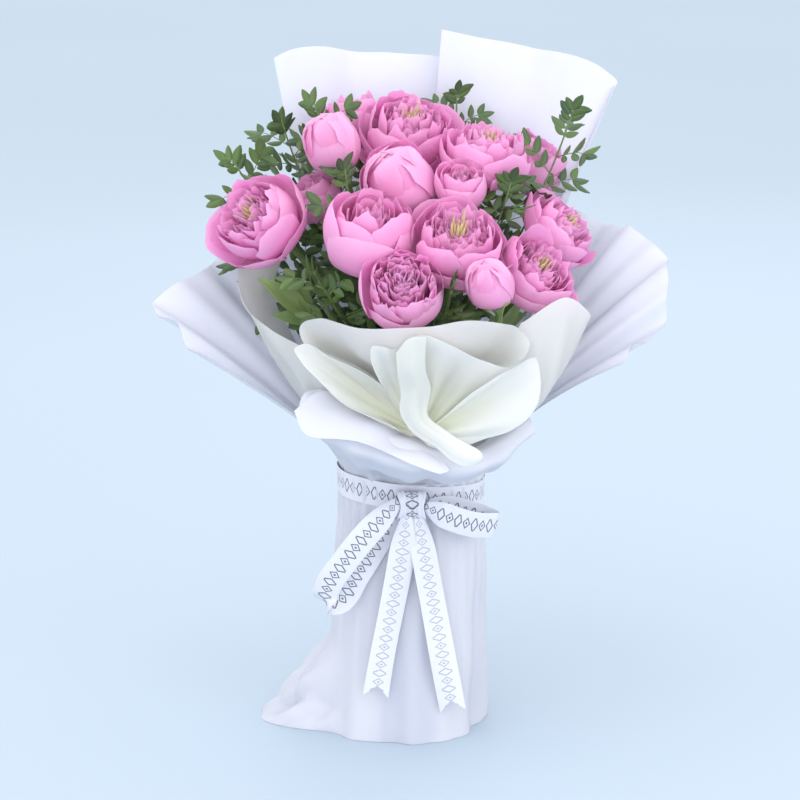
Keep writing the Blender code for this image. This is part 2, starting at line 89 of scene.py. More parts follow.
def axes_facing(facing: Place) -> Array:
    """Axes of a thing that faces one way.

    Args:
        facing: The way that its own Z points.

    Returns:
        A matrix of its X, Y and Z as columns, with X level and to the right.
    """
    ahead = unit(facing)
    right = unit(np.array((1.0, 0.0, 0.0)) - ahead[0] * ahead)
    return np.stack((right, np.cross(ahead, right), ahead), axis=1)


def smooth_curve(points: Array, shares: Array) -> Array:
    """Points on the smooth curve through points, or rows on the surface through rows.

    Each stretch is a cubic Hermite curve, with the slope at a point taken from its two
    neighbours. Stretches last as long as their mean length.

    Args:
        points: The points, or rows of points, that are passed, in order.
        shares: Where along it, from 0 at the first to 1 at the last.

    Returns:
        One point, or one row, for each share.
    """
    points = np.asarray(points, float)
    lengths = np.linalg.norm(np.diff(points, axis=0), axis=-1)
    steps = lengths.reshape(len(lengths), -1).mean(axis=1)
    knots = np.concatenate(([0.0], np.cumsum(steps))) / steps.sum()
    slopes = np.gradient(points, knots, axis=0)
    k = np.clip(np.searchsorted(knots, shares, side="right") - 1, 0, len(knots) - 2)
    extra = (1,) * (points.ndim - 1)
    span = (knots[k + 1] - knots[k]).reshape(-1, *extra)
    t = (shares - knots[k]).reshape(-1, *extra) / span
    return ((2 * t**3 - 3 * t**2 + 1) * points[k] + (t**3 - 2 * t**2 + t) * span * slopes[k]
            + (3 * t**2 - 2 * t**3) * points[k + 1] + (t**3 - t**2) * span * slopes[k + 1])


def bezier(start: Array, first: Array, second: Array, end: Array, count: int) -> Array:
    """Points of a cubic Bezier curve, count of them, both ends included."""
    t = np.linspace(0.0, 1.0, count)[:, None]
    weights = ((1 - t) ** 3, 3 * t * (1 - t) ** 2, 3 * t * t * (1 - t), t**3)
    return sum(w * np.asarray(p, float) for w, p in zip(weights, (start, first, second, end)))


def frames_along(path: Array, side: Array) -> tuple[Array, Array, Array]:
    """The way ahead, across and above at each point of a path.

    Args:
        path: Points along the path.
        side: A direction, or one for each point, that across stays nearest to.

    Returns:
        Three arrays of unit vectors.
    """
    ahead = unit(np.gradient(path, axis=0))
    side = np.broadcast_to(np.asarray(side, float), path.shape)
    across = unit(side - (side * ahead).sum(1, keepdims=True) * ahead)
    return ahead, across, np.cross(ahead, across)


def sine_waves(points: Array, waves: int, pitch: float, seed: int) -> Array:
    """The heights of scattered sine waves at each point.

    Args:
        points: Where to read them, with coordinates on the last axis.
        waves: How many sine waves.
        pitch: How many radians they turn in a metre, about.
        seed: Which scatter.

    Returns:
        The height of every wave at each point, on a last axis of its own.
    """
    draw = np.random.default_rng(seed)
    ways = unit(draw.normal(size=(waves, 3))) * pitch * draw.uniform(0.6, 1.5, (waves, 1))
    starts = draw.uniform(0, 2 * np.pi, waves)
    return np.sin(points @ ways.T + starts)


def ripple(points: Array, waves: int, length: float, seed: int) -> Array:
    """A smooth wandering height at each point, about from -1 to 1.

    It is the mean of sine waves of nearly the same length in scattered directions.

    Args:
        points: Where to read it, with coordinates on the last axis.
        waves: How many sine waves.
        length: Their length in metres.
        seed: Which scatter.

    Returns:
        The height at each point.
    """
    return sine_waves(points, waves, 2 * np.pi / length, seed).mean(axis=-1) * 1.6


def crumple(points: Array, waves: int, length: float, seed: int) -> Array:
    """Like ripple, but with sharp valleys: each wave is a sine's size, without its sign."""
    return np.abs(sine_waves(points, waves, np.pi / length, seed)).mean(axis=-1) * 2.0 - 1.2


# ---- meshes --------------------------------------------------------------------


@dataclass
class Patch:
    """One or more like grids of points, with what their finish reads.

    points has rows and columns before its coordinates, and any number of grids before
    those. uv and tone match it. A closed patch runs right round along its columns, and a
    capped one has a face over its first and its last row.
    """

    points: Array
    uv: Array
    tone: Array
    closed: bool = False
    capped: bool = False

    def faces(self, start: int) -> list[Array]:
        """Corner numbers of the faces, one array for each number of corners."""
        rows, columns = self.points.shape[-3:-1]
        grids = self.points.size // (3 * rows * columns)
        index = start + np.arange(grids * rows * columns).reshape(grids, rows, columns)
        after = np.roll(index, -1, axis=2) if self.closed else index[:, :, 1:]
        before = index if self.closed else index[:, :, :-1]
        corners = (before[:, :-1], after[:, :-1], after[:, 1:], before[:, 1:])
        made = [np.stack([c.ravel() for c in corners], axis=1)]
        if self.capped:
            made += [index[:, 0, ::-1], index[:, -1]]
        return made


def patch(points: Array, uv: Array | None = None, tone: Array | float = 0.0,
          closed: bool = False, capped: bool = False) -> Patch:
    """A Patch whose uv, if not given, is the share of its columns and of its rows."""
    if uv is None:
        rows, columns = points.shape[-3:-1]
        across, along = np.meshgrid(np.linspace(0, 1, columns), np.linspace(0, 1, rows))
        uv = np.stack((across, along), axis=-1)
    uv = np.broadcast_to(uv, points.shape[:-1] + (2,))
    return Patch(points, uv, np.broadcast_to(tone, points.shape[:-1]), closed, capped)


def make_piece(name: str, patches: list[Patch], finish: "Finish", wall: float = 0.0) -> bpy.types.Object:
    """A mesh object of patches, smooth and in its final place.

    Args:
        name: The piece's name.
        patches: Its grids, in the bunch's own frame.
        finish: What it is made of.
        wall: Its thickness, added by Solidify, or 0 for a closed shape.

    Returns:
        The object, riding on the frame's one body.
    """
    points = np.concatenate([p.points.reshape(-1, 3) for p in patches]) + BUNCH
    uv = np.concatenate([p.uv.reshape(-1, 2) for p in patches])
    tone = np.concatenate([p.tone.ravel() for p in patches])
    starts = np.cumsum([0] + [p.points.size // 3 for p in patches])
    faces = [f for p, start in zip(patches, starts) for f in p.faces(start)]
    corners = np.concatenate([f.ravel() for f in faces])
    sizes = np.concatenate([np.full(len(f), f.shape[1]) for f in faces])
    mesh = bpy.data.meshes.new(name)
    mesh.vertices.add(len(points))
    mesh.vertices.foreach_set("co", points.ravel())
    mesh.loops.add(len(corners))
    mesh.loops.foreach_set("vertex_index", corners)
    mesh.polygons.add(len(sizes))
    mesh.polygons.foreach_set("loop_start", np.cumsum(sizes) - sizes)
    mesh.update(calc_edges=True)
    mesh.uv_layers.new(name="UVMap").data.foreach_set("uv", uv[corners].ravel())
    mesh.attributes.new("tone", "FLOAT", "POINT").data.foreach_set("value", tone)
    mesh.shade_smooth()
    mesh.materials.append(finish.material())
    piece = bpy.data.objects.new(name, mesh)
    bpy.context.scene.collection.objects.link(piece)
    if wall:
        solidify = piece.modifiers.new("wall", "SOLIDIFY")
        solidify.thickness = wall
        solidify.offset = 0.0
        normals = piece.modifiers.new("normals", "WEIGHTED_NORMAL")
        normals.keep_sharp = False
    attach(piece, "root")
    LOG.info("%s: %d points", name, len(points))
    return piece


def tube(path: Array, radii: Array | float, sides: int = 8) -> Patch:
    """A round rod along a path, capped at both ends.

    Args:
        path: Points along its middle.
        radii: Its radius, or one for each point.
        sides: How many sides it has.

    Returns:
        The patch; its uv runs round the rod and along it.
    """
    _, across, above = frames_along(path, (0.3, 1.0, 0.1))
    turns = np.linspace(0, 2 * np.pi, sides, endpoint=False)[:, None]
    ring = np.cos(turns) * across[:, None] + np.sin(turns) * above[:, None]
    radii = np.broadcast_to(radii, len(path))[:, None, None]
    return patch(path[:, None] + ring * radii, closed=True, capped=True)


# ---- finishes ------------------------------------------------------------------


class Value:
    """A number that a material works out: arithmetic on it adds Math nodes."""

    def __init__(self, graph: "Graph", socket: bpy.types.NodeSocket) -> None:
        """Keeps the graph of the number and the socket that it comes out of."""
        self.graph = graph
        self.socket = socket

    def maths(self, operation: str, other: "Value | float" = 0.0) -> "Value":
        """The result of an operation on this number and another."""
        return self.graph.maths(operation, self, other)

    def __add__(self, other: "Value | float") -> "Value":
        """The sum."""
        return self.maths("ADD", other)

    def __sub__(self, other: "Value | float") -> "Value":
        """The difference."""
        return self.maths("SUBTRACT", other)

    def __rsub__(self, other: float) -> "Value":
        """The difference from a plain number."""
        return self.graph.maths("SUBTRACT", other, self)

    def __mul__(self, other: "Value | float") -> "Value":
        """The product."""
        return self.maths("MULTIPLY", other)

    def __truediv__(self, other: float) -> "Value":
        """The quotient."""
        return self.maths("DIVIDE", other)

    def __pow__(self, other: float) -> "Value":
        """The power."""
        return self.maths("POWER", other)

    def __abs__(self) -> "Value":
        """The size without the sign."""
        return self.maths("ABSOLUTE")

    def __lt__(self, other: float) -> "Value":
        """1 where the number is less than the other, or else 0."""
        return self.maths("LESS_THAN", other)

    def clamped(self) -> "Value":
        """The number kept from 0 to 1."""
        return self.graph.maths("ADD", self, 0.0, clamp=True)


class Graph:
    """The node tree of one material, built call by call."""

    def __init__(self, name: str) -> None:
        """Makes an empty node material called name."""
        self.made = bpy.data.materials.new(name)
        self.made.use_nodes = True
        self.nodes = self.made.node_tree.nodes
        self.links = self.made.node_tree.links
        self.nodes.clear()

    def put(self, socket: bpy.types.NodeSocket, value: object) -> None:
        """Links value to socket if it comes out of a node, or else sets it there."""
        value = value.socket if isinstance(value, Value) else value
        if isinstance(value, bpy.types.NodeSocket):
            self.links.new(value, socket)
        else:
            socket.default_value = value

    def node(self, kind: str, inputs: dict | None = None, **settings: object) -> bpy.types.Node:
        """A new node.

        Args:
            kind: Its type, without the words ShaderNode.
            inputs: What to link to or set on its sockets, by name or number.
            **settings: Its own properties.

        Returns:
            The node.
        """
        node = self.nodes.new("ShaderNode" + kind)
        for key, value in settings.items():
            setattr(node, key, value)
        for key, value in (inputs or {}).items():
            self.put(node.inputs[key], value)
        return node

    def maths(self, operation: str, first: Value | float, second: Value | float,
              clamp: bool = False) -> Value:
        """The result of one operation on two numbers."""
        node = self.node("Math", {0: first, 1: second}, operation=operation, use_clamp=clamp)
        return Value(self, node.outputs[0])

    def blend(self, factor: Value, first: object, second: Place) -> bpy.types.NodeSocket:
        """The colour between first, which is a colour or a socket, and second, at factor."""
        first = rgba(first) if isinstance(first, tuple) else first
        node = self.node("Mix", data_type="RGBA")
        for socket, value in ((0, factor), (6, first), (7, rgba(second))):
            self.put(node.inputs[socket], value)
        return node.outputs[2]

    def noise(self, scale: float, detail: float, stretch: Place = (1.0, 1.0, 1.0),
              coordinates: str = "Object") -> Value:
        """A noise from 0 to 1, with its pattern squeezed by stretch."""
        where = self.node("TexCoord").outputs[coordinates]
        mapped = self.node("Mapping", {"Vector": where, "Scale": stretch}).outputs[0]
        made = self.node("TexNoise", {"Vector": mapped, "Scale": scale, "Detail": detail})
        return Value(self, made.outputs[0])

    def bump(self, height: Value, strength: float, distance: float) -> bpy.types.NodeSocket:
        """The normal bent by a height."""
        return self.node("Bump", {"Height": height, "Strength": strength, "Distance": distance}).outputs[0]

    def tone(self) -> Value:
        """The mesh's own tone."""
        return Value(self, self.node("Attribute", attribute_name="tone").outputs["Fac"])

    def uv(self) -> tuple[Value, Value]:
        """The two parts of the UV map: across and along."""
        parts = self.node("SeparateXYZ", {0: self.node("TexCoord").outputs["UV"]})
        return Value(self, parts.outputs[0]), Value(self, parts.outputs[1])

    def face(self, colour: bpy.types.NodeSocket, roughness: float,
             normal: bpy.types.NodeSocket | None = None, **more: float) -> bpy.types.Node:
        """The shader of a solid face.

        Args:
            colour: Its colour, as a socket.
            roughness: Its roughness.
            normal: Its bent normal, if it has one.
            **more: Other inputs, by their names with _ for a space.

        Returns:
            The node.
        """
        inputs = {"Base Color": colour, "Roughness": roughness}
        inputs.update({key.replace("_", " "): value for key, value in more.items()})
        if normal:
            inputs["Normal"] = normal
        return self.node("BsdfPrincipled", inputs)

    def mixed(self, share: float, first: bpy.types.Node, second: bpy.types.Node) -> bpy.types.Node:
        """The shader with this share of second in first."""
        return self.node("MixShader", {0: share, 1: first.outputs[0], 2: second.outputs[0]})

    def finish(self, shader: bpy.types.Node) -> bpy.types.Material:
        """Joins shader to the output and returns the material."""
        output = self.nodes.new("ShaderNodeOutputMaterial")
        self.links.new(shader.outputs[0], output.inputs["Surface"])
        return self.made


def rgba(colour: Place) -> tuple[float, float, float, float]:
    """A colour with full opacity."""
    return (*colour, 1.0)


@dataclass(frozen=True)
class Finish:
    """What a piece is made of: the record's slot, and one shared material."""

    name: str
    slot: str

    def material(self) -> bpy.types.Material:
        """The finish's material, made the first time it is asked for."""
        return bpy.data.materials.get(self.name) or self.build(Graph(self.name))

    def build(self, graph: Graph) -> bpy.types.Material:
        """Makes the material in an empty graph."""
        raise NotImplementedError


@dataclass(frozen=True)
class PetalFinish(Finish):
    """A petal: deep at its foot and in the folds, pale at its edge, finely veined."""

    pale: Place = (1.00, 0.57, 0.86)
    deep: Place = (0.96, 0.27, 0.63)
    edge: Place = (1.00, 0.80, 0.95)
    glow: float = 0.46

    def build(self, graph: Graph) -> bpy.types.Material:
        """Makes the petal material; a tone below 0 makes it as pale as its edge."""
        _, along = graph.uv()
        veins = graph.noise(6.0, 3.0, (9.0, 0.8, 1.0), "UV")
        blotch = graph.noise(45.0, 2.0)
        foot = (1.0 - along) ** 1.6
        depth = graph.tone() * 0.85 - 0.22 + foot * 0.45 + veins * 0.24 + blotch * 0.12
        colour = graph.blend(depth.clamped(), self.pale, self.deep)
        light = (graph.tone() * -1.0).clamped()
        tip = along**9.0 * 0.35 + light
        colour = graph.blend(tip.clamped(), colour, self.edge)
        face = graph.face(colour, 0.52, graph.bump(veins, 0.35, 0.0006),
                          Specular_IOR_Level=0.35, Sheen_Weight=0.15)
        through = graph.node("BsdfTranslucent", {"Color": colour})
        return graph.finish(graph.mixed(self.glow, face, through))


@dataclass(frozen=True)
class LeafFinish(Finish):
    """A leaf: a pale midrib and side veins, and a tone between a dark and a bright green."""

    dark: Place = (0.045, 0.095, 0.045)
    bright: Place = (0.16, 0.27, 0.055)
    rib: Place = (0.22, 0.30, 0.12)
    gloss: float = 0.38
    glow: float = 0.14

    def build(self, graph: Graph) -> bpy.types.Material:
        """Makes the leaf material; the side veins are a wave that slants to the midrib."""
        across, along = graph.uv()
        aside = abs(across - 0.5)
        rib = (1.0 - aside * 22.0).clamped()
        slant = along * 62.0 - aside * 40.0
        veins = abs(slant.maths("SINE")) ** 8.0
        mottle = graph.noise(180.0, 3.0)
        tone = graph.tone() + mottle * 0.4 - 0.2
        colour = graph.blend(tone.clamped(), self.dark, self.bright)
        lines = rib.maths("MAXIMUM", veins * 0.25)
        colour = graph.blend(lines * 0.6, colour, self.rib)
        face = graph.face(colour, self.gloss, graph.bump(lines, 0.4, 0.0004))
        through = graph.node("BsdfTranslucent", {"Color": rgba(self.bright)})
        return graph.finish(graph.mixed(self.glow, face, through))


@dataclass(frozen=True)
class StemFinish(Finish):
    """A fresh stem: green with darker streaks along it and small pale specks."""

    green: Place = (0.17, 0.27, 0.08)
    dark: Place = (0.08, 0.15, 0.045)
    speck: Place = (0.42, 0.48, 0.25)

    def build(self, graph: Graph) -> bpy.types.Material:
        """Makes the stem material."""
        streaks = graph.noise(420.0, 2.0, (1.0, 1.0, 0.06))
        specks = graph.noise(900.0, 1.0).maths("GREATER_THAN", 0.68)
        colour = graph.blend(streaks, self.green, self.dark)
        colour = graph.blend(specks * 0.35, colour, self.speck)
        return graph.finish(graph.face(colour, 0.45, graph.bump(streaks, 0.3, 0.0003)))


@dataclass(frozen=True)
class WrapFinish(Finish):
    """Frosted non-woven sheet: light comes through it, and its fold colour is painted shade in its folds
    and near its gathers.
    """

    face: Place = (0.80, 0.81, 0.87)
    # fold is the colour of painted shade, mixed in by the sheet's tone: in the valleys of its flutes and
    # folds and near its gathers.
    fold: Place = (0.64, 0.66, 0.76)
    through: Place = (0.92, 0.92, 1.00)
    glow: float = 0.30
    clear: float = 0.06

    def build(self, graph: Graph) -> bpy.types.Material:
        """Makes the sheet material; glow is the light let through, and clear what is seen through."""
        fibres = graph.noise(900.0, 4.0, (1.0, 1.0, 0.25))
        drift = graph.noise(22.0, 2.0)
        # Painted shade: the tone, made uneven by the drift noise, mixes the fold colour into the face
        # colour.
        shade = graph.tone() + drift * 0.18
        colour = graph.blend(shade.clamped(), self.face, self.fold)
        colour = graph.blend(fibres * 0.10, colour, (1.0, 1.0, 1.0))
        front = graph.face(colour, 0.55, graph.bump(fibres, 0.22, 0.0003),
                           Specular_IOR_Level=0.3, Sheen_Weight=0.1)
        back = graph.node("BsdfTranslucent", {"Color": rgba(self.through)})
        seen = graph.node("BsdfTransparent", {"Color": rgba((1.0, 1.0, 1.0))})
        return graph.finish(graph.mixed(self.clear, graph.mixed(self.glow, front, back), seen))


@dataclass(frozen=True)
class SatinFinish(Finish):
    """White satin ribbon with a printed row of lozenges, dark or showing through faintly.

    The UV map is in metres: across the ribbon from its middle, and along it.
    """

    cloth: Place = (0.72, 0.73, 0.80)
    shade: Place = (0.60, 0.61, 0.72)
    print_tone: Place = (0.06, 0.07, 0.10)
    ink: float = 0.9
    repeat: float = 0.0170
    thread: float = 0.00035

    def build(self, graph: Graph) -> bpy.types.Material:
        """Makes the satin material.

        The print is a lozenge with a dot in it, between two pairs of slanting strokes, all
        from the distances to the middle of one repeat.
        """
        across, along = graph.uv()
        cell = (along / self.repeat).maths("FRACT") - 0.5
        length = abs(cell) * self.repeat
        side = abs(across)
        lozenge = length * 1.5 + side
        outline = abs(lozenge - 0.0050) < 0.0009
        dot = lozenge < 0.0017
        stroke = (abs(length - side * 0.45 - 0.0052) < 0.00065) * (side < 0.0066)
        mark = outline.maths("MAXIMUM", dot).maths("MAXIMUM", stroke) * self.ink
        threads = (across * (2 * math.pi / self.thread)).maths("SINE")
        weft = graph.noise(700.0, 2.0, (1.0, 1.0, 0.2))
        colour = graph.blend(weft * 0.35, self.cloth, self.shade)
        colour = graph.blend(mark, colour, self.print_tone)
        return graph.finish(graph.face(colour, 0.34, graph.bump(threads + weft, 0.12, 0.0001),
                                       Anisotropic=0.4, Sheen_Weight=0.2))


@dataclass(frozen=True)
class TwineFinish(Finish):
    """Rough natural twine, with its twist."""

    dark: Place = (0.26, 0.18, 0.10)
    pale: Place = (0.62, 0.50, 0.33)

    def build(self, graph: Graph) -> bpy.types.Material:
        """Makes the twine material."""
        twist = graph.noise(1500.0, 3.0)
        colour = graph.blend(twist, self.dark, self.pale)
        return graph.finish(graph.face(colour, 0.85, graph.bump(twist, 0.8, 0.0004)))


@dataclass(frozen=True)
class FloorFinish(Finish):
    """The plain pale floor."""

    low: Place = (0.43, 0.52, 0.61)
    high: Place = (0.46, 0.55, 0.64)

    def build(self, graph: Graph) -> bpy.types.Material:
        """Makes the floor material."""
        return graph.finish(graph.face(graph.blend(graph.noise(0.8, 1.0), self.low, self.high), 0.7))


PETALS = PetalFinish("petal_pink", "petals")
HEART = PetalFinish("petal_heart", "petals", pale=(0.93, 0.80, 0.42), deep=(0.55, 0.60, 0.20),
                    edge=(0.98, 0.92, 0.62), glow=0.2)
SEPALS = LeafFinish("sepal_green", "stems", dark=(0.20, 0.28, 0.08), bright=(0.42, 0.48, 0.14))
STEMS = StemFinish("stem_green", "stems")
LEAVES = LeafFinish("leaf_dark", "leaves")
PALE_LEAVES = LeafFinish("leaf_pale", "pale_leaves", dark=(0.13, 0.21, 0.07), bright=(0.28, 0.38, 0.14))
WHITE_WRAP = WrapFinish("wrap_white", "white_wrap")
# The ivory sheets' painted shade, in their folds and near their gathers, is yellow-green.
IVORY_WRAP = WrapFinish("wrap_ivory", "ivory_wrap", face=(0.85, 0.85, 0.86), fold=(0.82, 0.84, 0.60),
                        through=(0.95, 0.95, 0.93), glow=0.40, clear=0.14)
SATIN = SatinFinish("ribbon_face", "ribbon")
SATIN_BACK = SatinFinish("ribbon_reverse", "ribbon", print_tone=(0.22, 0.23, 0.30), ink=0.60)
TWINE = TwineFinish("twine", "twine")
FLOOR = FloorFinish("floor", "")


# ---- peony heads ---------------------------------------------------------------


@dataclass(frozen=True)
class Whorl:
    """Like petals round a head. A pair of numbers runs from the first petal to the last.

    Lengths are in radii of the head: radius is how far out the petals' belly lies, height
    how high their tips reach, and lip the radius of their tips as a share of their own.
    width is half a petal's breadth, bow the radius that it is curved to, and point and
    taper how much and how sharply its corners are drawn down to a tip. crest is how high
    the midline's upper bend lies as a share of the height, loose how far the petals
    differ, and fold how deep the crease along their middle is.
    """

    count: int
    radius: tuple[float, float]
    height: tuple[float, float]
    lip: tuple[float, float]
    width: float
    bow: float
    ruffle: float = 0.02
    frill: float = 0.03
    tone: tuple[float, float] = (0.2, 0.2)
    belly: float = 1.2
    first: float = 0.0
    step: float = 0.0
    point: float = 0.26
    taper: float = 2.6
    crest: float = 0.62
    loose: float = 0.05
    fold: float = 0.0
    heart: bool = False


class Stage(Enum):
    """How far a head has opened, with its length in radii and its whorls."""

    BUD = (2.10, (
        Whorl(3, (0.70, 0.74), (1.98, 2.04), (0.05, 0.12), 0.80, 0.72, 0.02, 0.03, (0.5, 0.4), 1.3, 10,
              crest=0.90),
        Whorl(4, (0.86, 0.90), (1.98, 2.04), (0.06, 0.14), 1.00, 0.86, 0.02, 0.03, (0.35, 0.25), 1.3, 40,
              crest=0.94),
        Whorl(3, (1.01, 0.97), (2.03, 1.92), (-0.38, 0.30), 1.30, 1.00, 0.015, 0.02, (-0.05, 0.10), 1.31,
              first=262, point=0.34, taper=2.2, crest=0.98),
    ))
    CUP = (1.85, (
        Whorl(12, (0.10, 0.40), (1.60, 1.68), (1.1, 1.2), 0.30, 0.28, 0.10, 0.16, (-0.10, 0.05),
              step=GOLDEN_TURN, point=0.16, taper=3.5, loose=0.12, fold=0.03),
        Whorl(9, (0.44, 0.70), (1.68, 1.80), (0.95, 0.92), 0.52, 0.50, 0.07, 0.09, (0.25, 0.12),
              step=GOLDEN_TURN, crest=0.7, loose=0.12, fold=0.03),
        Whorl(5, (0.84, 0.88), (1.60, 1.80), (0.78, 0.90), 0.84, 0.80, 0.05, 0.05, (0.20, 0.10), first=20,
              crest=0.75, loose=0.09),
        Whorl(4, (1.00, 1.04), (1.42, 1.64), (0.86, 1.00), 1.12, 1.05, 0.05, 0.03, (0.05, 0.0), 1.25, 262,
              crest=0.75, loose=0.08),
    ))
    OPEN = (1.60, (
        Whorl(13, (0.05, 0.17), (1.36, 1.48), (1.2, 1.8), 0.05, 0.06, 0.02, 0.05, (0.0, 0.4),
              step=GOLDEN_TURN, loose=0.1, heart=True),
        Whorl(27, (0.16, 0.68), (1.42, 1.40), (1.30, 1.02), 0.36, 0.30, 0.13, 0.20, (-0.12, 0.02),
              step=GOLDEN_TURN, point=0.14, taper=4.0, crest=0.74, loose=0.16, fold=0.03),
        Whorl(9, (0.70, 0.84), (1.36, 1.44), (1.08, 0.98), 0.52, 0.50, 0.10, 0.13, (0.0, 0.05),
              step=GOLDEN_TURN, crest=0.7, loose=0.14, fold=0.03),
        Whorl(5, (0.92, 0.97), (1.10, 1.36), (1.00, 1.12), 0.84, 0.92, 0.08, 0.06, (0.08, 0.04), first=15,
              crest=0.7, loose=0.12),
        Whorl(5, (1.02, 1.08), (0.74, 1.06), (1.15, 1.32), 1.00, 1.45, 0.08, 0.05, (0.03, 0.0), 1.15, 255,
              loose=0.10),
    ))
    BALL = (1.90, (
        Whorl(42, (0.06, 0.84), (1.88, 1.56), (1.20, 1.04), 0.37, 0.30, 0.13, 0.20, (-0.12, 0.02),
              step=GOLDEN_TURN, point=0.14, taper=4.0, crest=0.80, loose=0.10, fold=0.03),
        Whorl(8, (0.86, 0.92), (1.40, 1.60), (0.92, 1.00), 0.58, 0.60, 0.08, 0.10, (0.15, 0.08), first=12,
              crest=0.75, loose=0.10, fold=0.03),
        Whorl(5, (0.99, 1.03), (1.00, 1.36), (0.94, 1.06), 0.92, 1.00, 0.06, 0.05, (0.04, 0.0), first=250,
              crest=0.72, loose=0.09),
    ))

    def __init__(self, length: float, whorls: tuple[Whorl, ...]) -> None:
        """Names the two parts of the value."""
        self.length = length
        self.whorls = whorls


SEPAL_WHORL = Whorl(5, (0.70, 0.76), (0.52, 0.62), (1.02, 1.08), 0.34, 0.60, 0.01, 0.0, (0.3, 0.8), 1.15,
                    20, 0.0, 0.85, 1.1)
ROWS, COLUMNS = 12, 11
SMALL_ROWS, SMALL_COLUMNS = 9, 8
SMALL_PETAL = 0.40


@dataclass(frozen=True)
class Peony:
    """One peony head on the end of its stem."""

    number: int
    radius: float
    facing: Place
    stage: Stage
    extra: tuple[Whorl, ...] = ()

    @property
    def name(self) -> str:
        """The head's name in the frame, without what it is."""
        return f"peony_{self.number:02d}"

    def base(self) -> Array:
        """Where the head starts: half its length behind the middle of its solid."""
        low, high = (np.array(corner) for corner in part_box(self.name + "_bloom"))
        return (low + high) / 2 - BUNCH - unit(self.facing) * self.stage.length * self.radius / 2

    def middle(self) -> Array:
        """The middle of the head."""
        return self.base() + unit(self.facing) * self.stage.length * self.radius / 2

    def petals(self, whorl: Whorl, draw: np.random.Generator) -> Patch:
        """The petals of one whorl, as surfaces in the bunch's own frame.

        A petal's midline goes out from the foot, up over the belly and to the lip, as a
        Bezier curve of radius and height. Across, it is an arc of the bow's radius. The
        distance along the midline falls off towards the corners, which rounds the tip,
        and by a product of two waves, which frills it.

        Args:
            whorl: What the petals are like.
            draw: The head's own source of small differences.

        Returns:
            One grid for each petal.
        """
        small = whorl.width < SMALL_PETAL
        rows, columns = (SMALL_ROWS, SMALL_COLUMNS) if small else (ROWS, COLUMNS)
        order = np.linspace(0.0, 1.0, whorl.count)

        def spread(pair: tuple[float, float], scatter: float = 0.0) -> Array:
            """The pair's values over the petals, scattered by a share of themselves."""
            values = pair[0] + (pair[1] - pair[0]) * order
            return (values * draw.uniform(1 - scatter, 1 + scatter, whorl.count))[:, None, None]

        loose = whorl.loose
        radius, height = spread(whorl.radius, loose * 0.6), spread(whorl.height, loose * 0.7)
        lip, width = spread(whorl.lip, loose * 1.4), spread((whorl.width,) * 2, loose * 1.5)
        bow = spread((whorl.bow,) * 2, loose * 2)
        starts = draw.uniform(0, 2 * np.pi, (4, whorl.count, 1, 1))
        u = np.linspace(-1, 1, columns)[None, None, :]
        v = np.linspace(0, 1, rows)[None, :, None]
        frill = 0.5 + 0.5 * np.sin(3.7 * u + starts[0]) * np.sin(7.9 * u + starts[1])
        s = v * (1 - whorl.point * np.abs(u) ** whorl.taper - whorl.frill * frill)
        out = radius * (0.12 * (1 - s) ** 3 + 3 * whorl.belly * s * (1 - s) + lip * s**3)
        up = height * (0.06 * (1 - s) ** 2 * s + 3 * whorl.crest * (1 - s) * s**2 + s**3)
        half = width * (0.22 + 0.78 * np.sin(np.pi / 2 * np.clip(s / 0.7, 0, 1)))
        angle = u * half / bow
        wave = whorl.ruffle * s**2 * (0.35 + 0.65 * np.abs(u))
        crease = whorl.fold * s * np.exp(-(3.5 * u) ** 2)
        out = out - bow * (1 - np.cos(angle)) + wave * np.sin(5.0 * u + 2.0 * s + starts[2]) - crease
        up = up + 0.8 * wave * np.sin(6.3 * u + starts[3])
        aside = bow * np.sin(angle)
        step = whorl.step or 360.0 / whorl.count
        turns = whorl.first + step * np.arange(whorl.count)
        turns = np.radians(turns + draw.uniform(-90, 90, whorl.count) * loose)[:, None, None]
        own = np.stack((out * np.cos(turns) - aside * np.sin(turns),
                        out * np.sin(turns) + aside * np.cos(turns), up), axis=-1)
        return patch(self.base() + self.radius * own @ axes_facing(self.facing).T,
                     tone=np.broadcast_to(spread(whorl.tone, 0.25), own.shape[:-1]))

    def build(self) -> None:
        """Makes the head's petals, its heart if it shows, and its sepals."""
        draw = np.random.default_rng(100 + self.number)
        made = [(w, self.petals(w, draw)) for w in self.stage.whorls + self.extra]
        outer = [p for w, p in made if not w.heart]
        whole = make_piece(self.name + "_petals", outer, PETALS, PETAL_WALL)
        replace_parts(whole, self.name + "_bloom")
        heart = [p for w, p in made if w.heart]
        if heart:
            make_piece(self.name + "_heart", heart, HEART, HEART_WALL)
        make_piece(self.name + "_sepals", [self.petals(SEPAL_WHORL, draw)], SEPALS, SEPAL_WALL)


# ---- greenery ------------------------------------------------------------------


